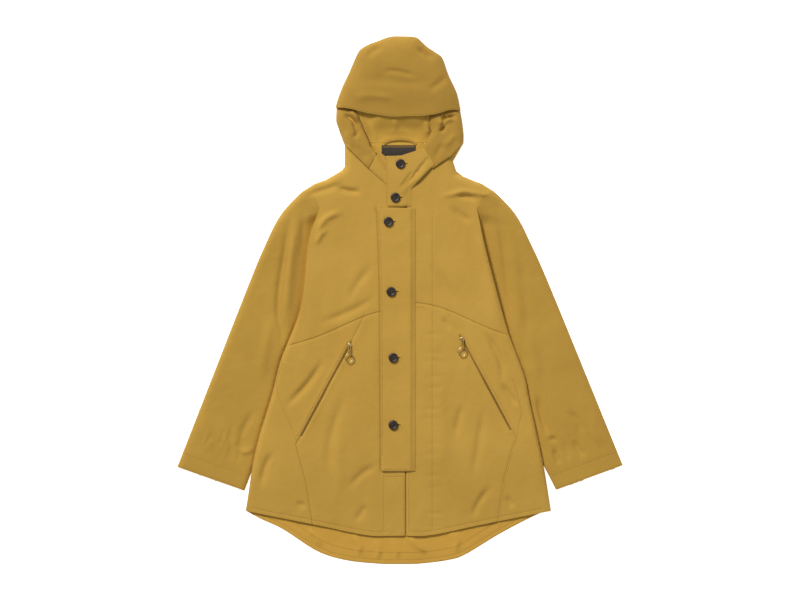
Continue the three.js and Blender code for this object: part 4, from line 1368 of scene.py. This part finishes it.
def slider_piece(side, sign):
    x, y, _ = centre_of(f"zip_slider_{side}")
    z1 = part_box(f"zip_slider_{side}")[1].z / MM
    ux, uy = zip_ways(sign)
    outline = [(-2.6, 5), (-4.5, 2.5), (-4.4, -1), (-3.2, -4.2), (-1.2, -5), (1.2, -5), (3.2, -4.2),
               (4.4, -1), (4.5, 2.5), (2.6, 5)]
    shape = [(x + ux[0] * a - uy[0] * b, y + ux[1] * a - uy[1] * b) for a, b in smooth(outline, 4)]
    plate_z = z1 - 1.0

    def top(across, along):
        return plate_z - 0.5 * (1 - rounded(to_line(across, along, shape + [shape[0]])[0], 0.9))

    plate = panel(f"zip_slider_{side}_cast", *net(shape, step=0.9, edge=0.7, rows=(0.4,)), top, aged_brass,
                  thickness=1.6)
    fit(plate, f"zip_slider_{side}", "zip_metal", f"zip_slider_{side}")
    vertices, faces = [], []
    top_end = (x - uy[0] * 1.9, y - uy[1] * 1.9)   # clear of the pull where it swings back
    box_mesh(vertices, faces, top_end, ux, uy, (1.1, 1.6), plate_z - 0.3, z1, 0.35)
    bridge = new_object(f"zip_slider_{side}_bridge", vertices, faces, aged_brass)
    fit(bridge, f"zip_slider_{side}", "zip_metal")


def tube(name, path, radius, material, sides):
    """A round bar along a path of places in metres, closed into a ring."""
    p = np.array(path)
    way = np.roll(p, -1, axis=0) - np.roll(p, 1, axis=0)
    way /= np.linalg.norm(way, axis=1)[:, None]
    up = np.array([0, 0, 1.0])
    vertices, faces = [], []
    for q, w in zip(p, way):
        aside = np.cross(w, up)
        aside /= max(np.linalg.norm(aside), 1e-9)
        over = np.cross(aside, w)
        for k in range(sides):
            turn = 2 * math.pi * k / sides
            vertices.append(tuple(q + radius * (aside * math.cos(turn) + over * math.sin(turn))))
    count = len(p)
    for i in range(count):
        j = (i + 1) % count
        for k in range(sides):
            after = (k + 1) % sides
            faces.append((i * sides + k, i * sides + after, j * sides + after, j * sides + k))
    return new_object(name, vertices, faces, material)


STRAND_RADIUS, STRAND_APART = 0.0011, 0.0019   # metres: the pull's loop of cord


def pull_piece(side):
    low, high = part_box(f"pull_ring_{side}")
    centre, radius = (low + high) / 2, (high.x - low.x) / 2
    wire = (high.z - low.z) / 2
    path = [(centre.x + (radius - wire) * math.cos(t), centre.y + (radius - wire) * math.sin(t), centre.z)
            for t in np.linspace(0, 2 * math.pi, 56, endpoint=False)]
    ring = tube(f"pull_ring_{side}_wire", path, wire * 0.95, aged_brass, 14)
    fit(ring, f"zip_pull_{side}", "zip_metal", f"pull_ring_{side}")
    tab_low, tab_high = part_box(f"pull_tab_{side}")
    x = (tab_low.x + tab_high.x) / 2
    top, bottom = tab_high.y - 0.001, centre.y + radius - wire * 2.2
    z = (tab_low.z + tab_high.z) / 2
    half = STRAND_APART
    strand = [(x - half, top, z), (x - half, bottom + 0.002, z), (x - half * 0.6, bottom, z),
              (x, bottom - 0.0004, z), (x + half * 0.6, bottom, z), (x + half, bottom + 0.002, z),
              (x + half, top, z), (x + half * 0.6, top + 0.001, z), (x, top + 0.0014, z),
              (x - half * 0.6, top + 0.001, z)]
    tab = tube(f"pull_tab_{side}_cord", strand, STRAND_RADIUS, thread_poly, 10)
    fit(tab, f"zip_pull_{side}", "zip_tape", f"pull_tab_{side}")


for side, sign in SIDES.items():
    build_zip(side, sign)
    slider_piece(side, sign)
    pull_piece(side)
print("zips with sliders and pulls:", ", ".join(SIDES))

# %% Pocket bags
BAG = [(-100, -8), (-13, -8), (21, 6), (21, 195), (-60, 225), (-120, 150)]
BAG_ROLL = 22


def build_bag(side, sign):
    low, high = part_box(f"pocket_bag_{side}")
    outline = on_front([along_zip(ZIP_FROM + y, x) for x, y in BAG], sign)
    if area_of(outline) < 0:
        outline = outline[::-1]
    for layer, z in (("back", low.z / MM + 1.4), ("front", high.z / MM - 1.2)):
        def sagging(x, y, z=z):
            d = to_line(x, y, outline + [outline[0]])[0]
            middle = (low.z + high.z) / 2 / MM
            return middle + (z - middle) * rounded(d, BAG_ROLL)

        slot_line = on_front([along_zip(ZIP_FROM + 4, -3), along_zip(ZIP_TO - 4, -3),
                              along_zip(ZIP_TO - 4, 3), along_zip(ZIP_FROM + 4, 3)], sign)
        holes = [slot_line] if layer == "front" else []
        piece = panel(f"pocket_bag_{side}_{layer}", *net(outline, holes=holes, step=9, edge=7), sagging,
                      pocket_twill, thickness=0.5)
        lay(piece, "torso", replaced=[f"pocket_bag_{side}"])


for side, sign in SIDES.items():
    build_bag(side, sign)
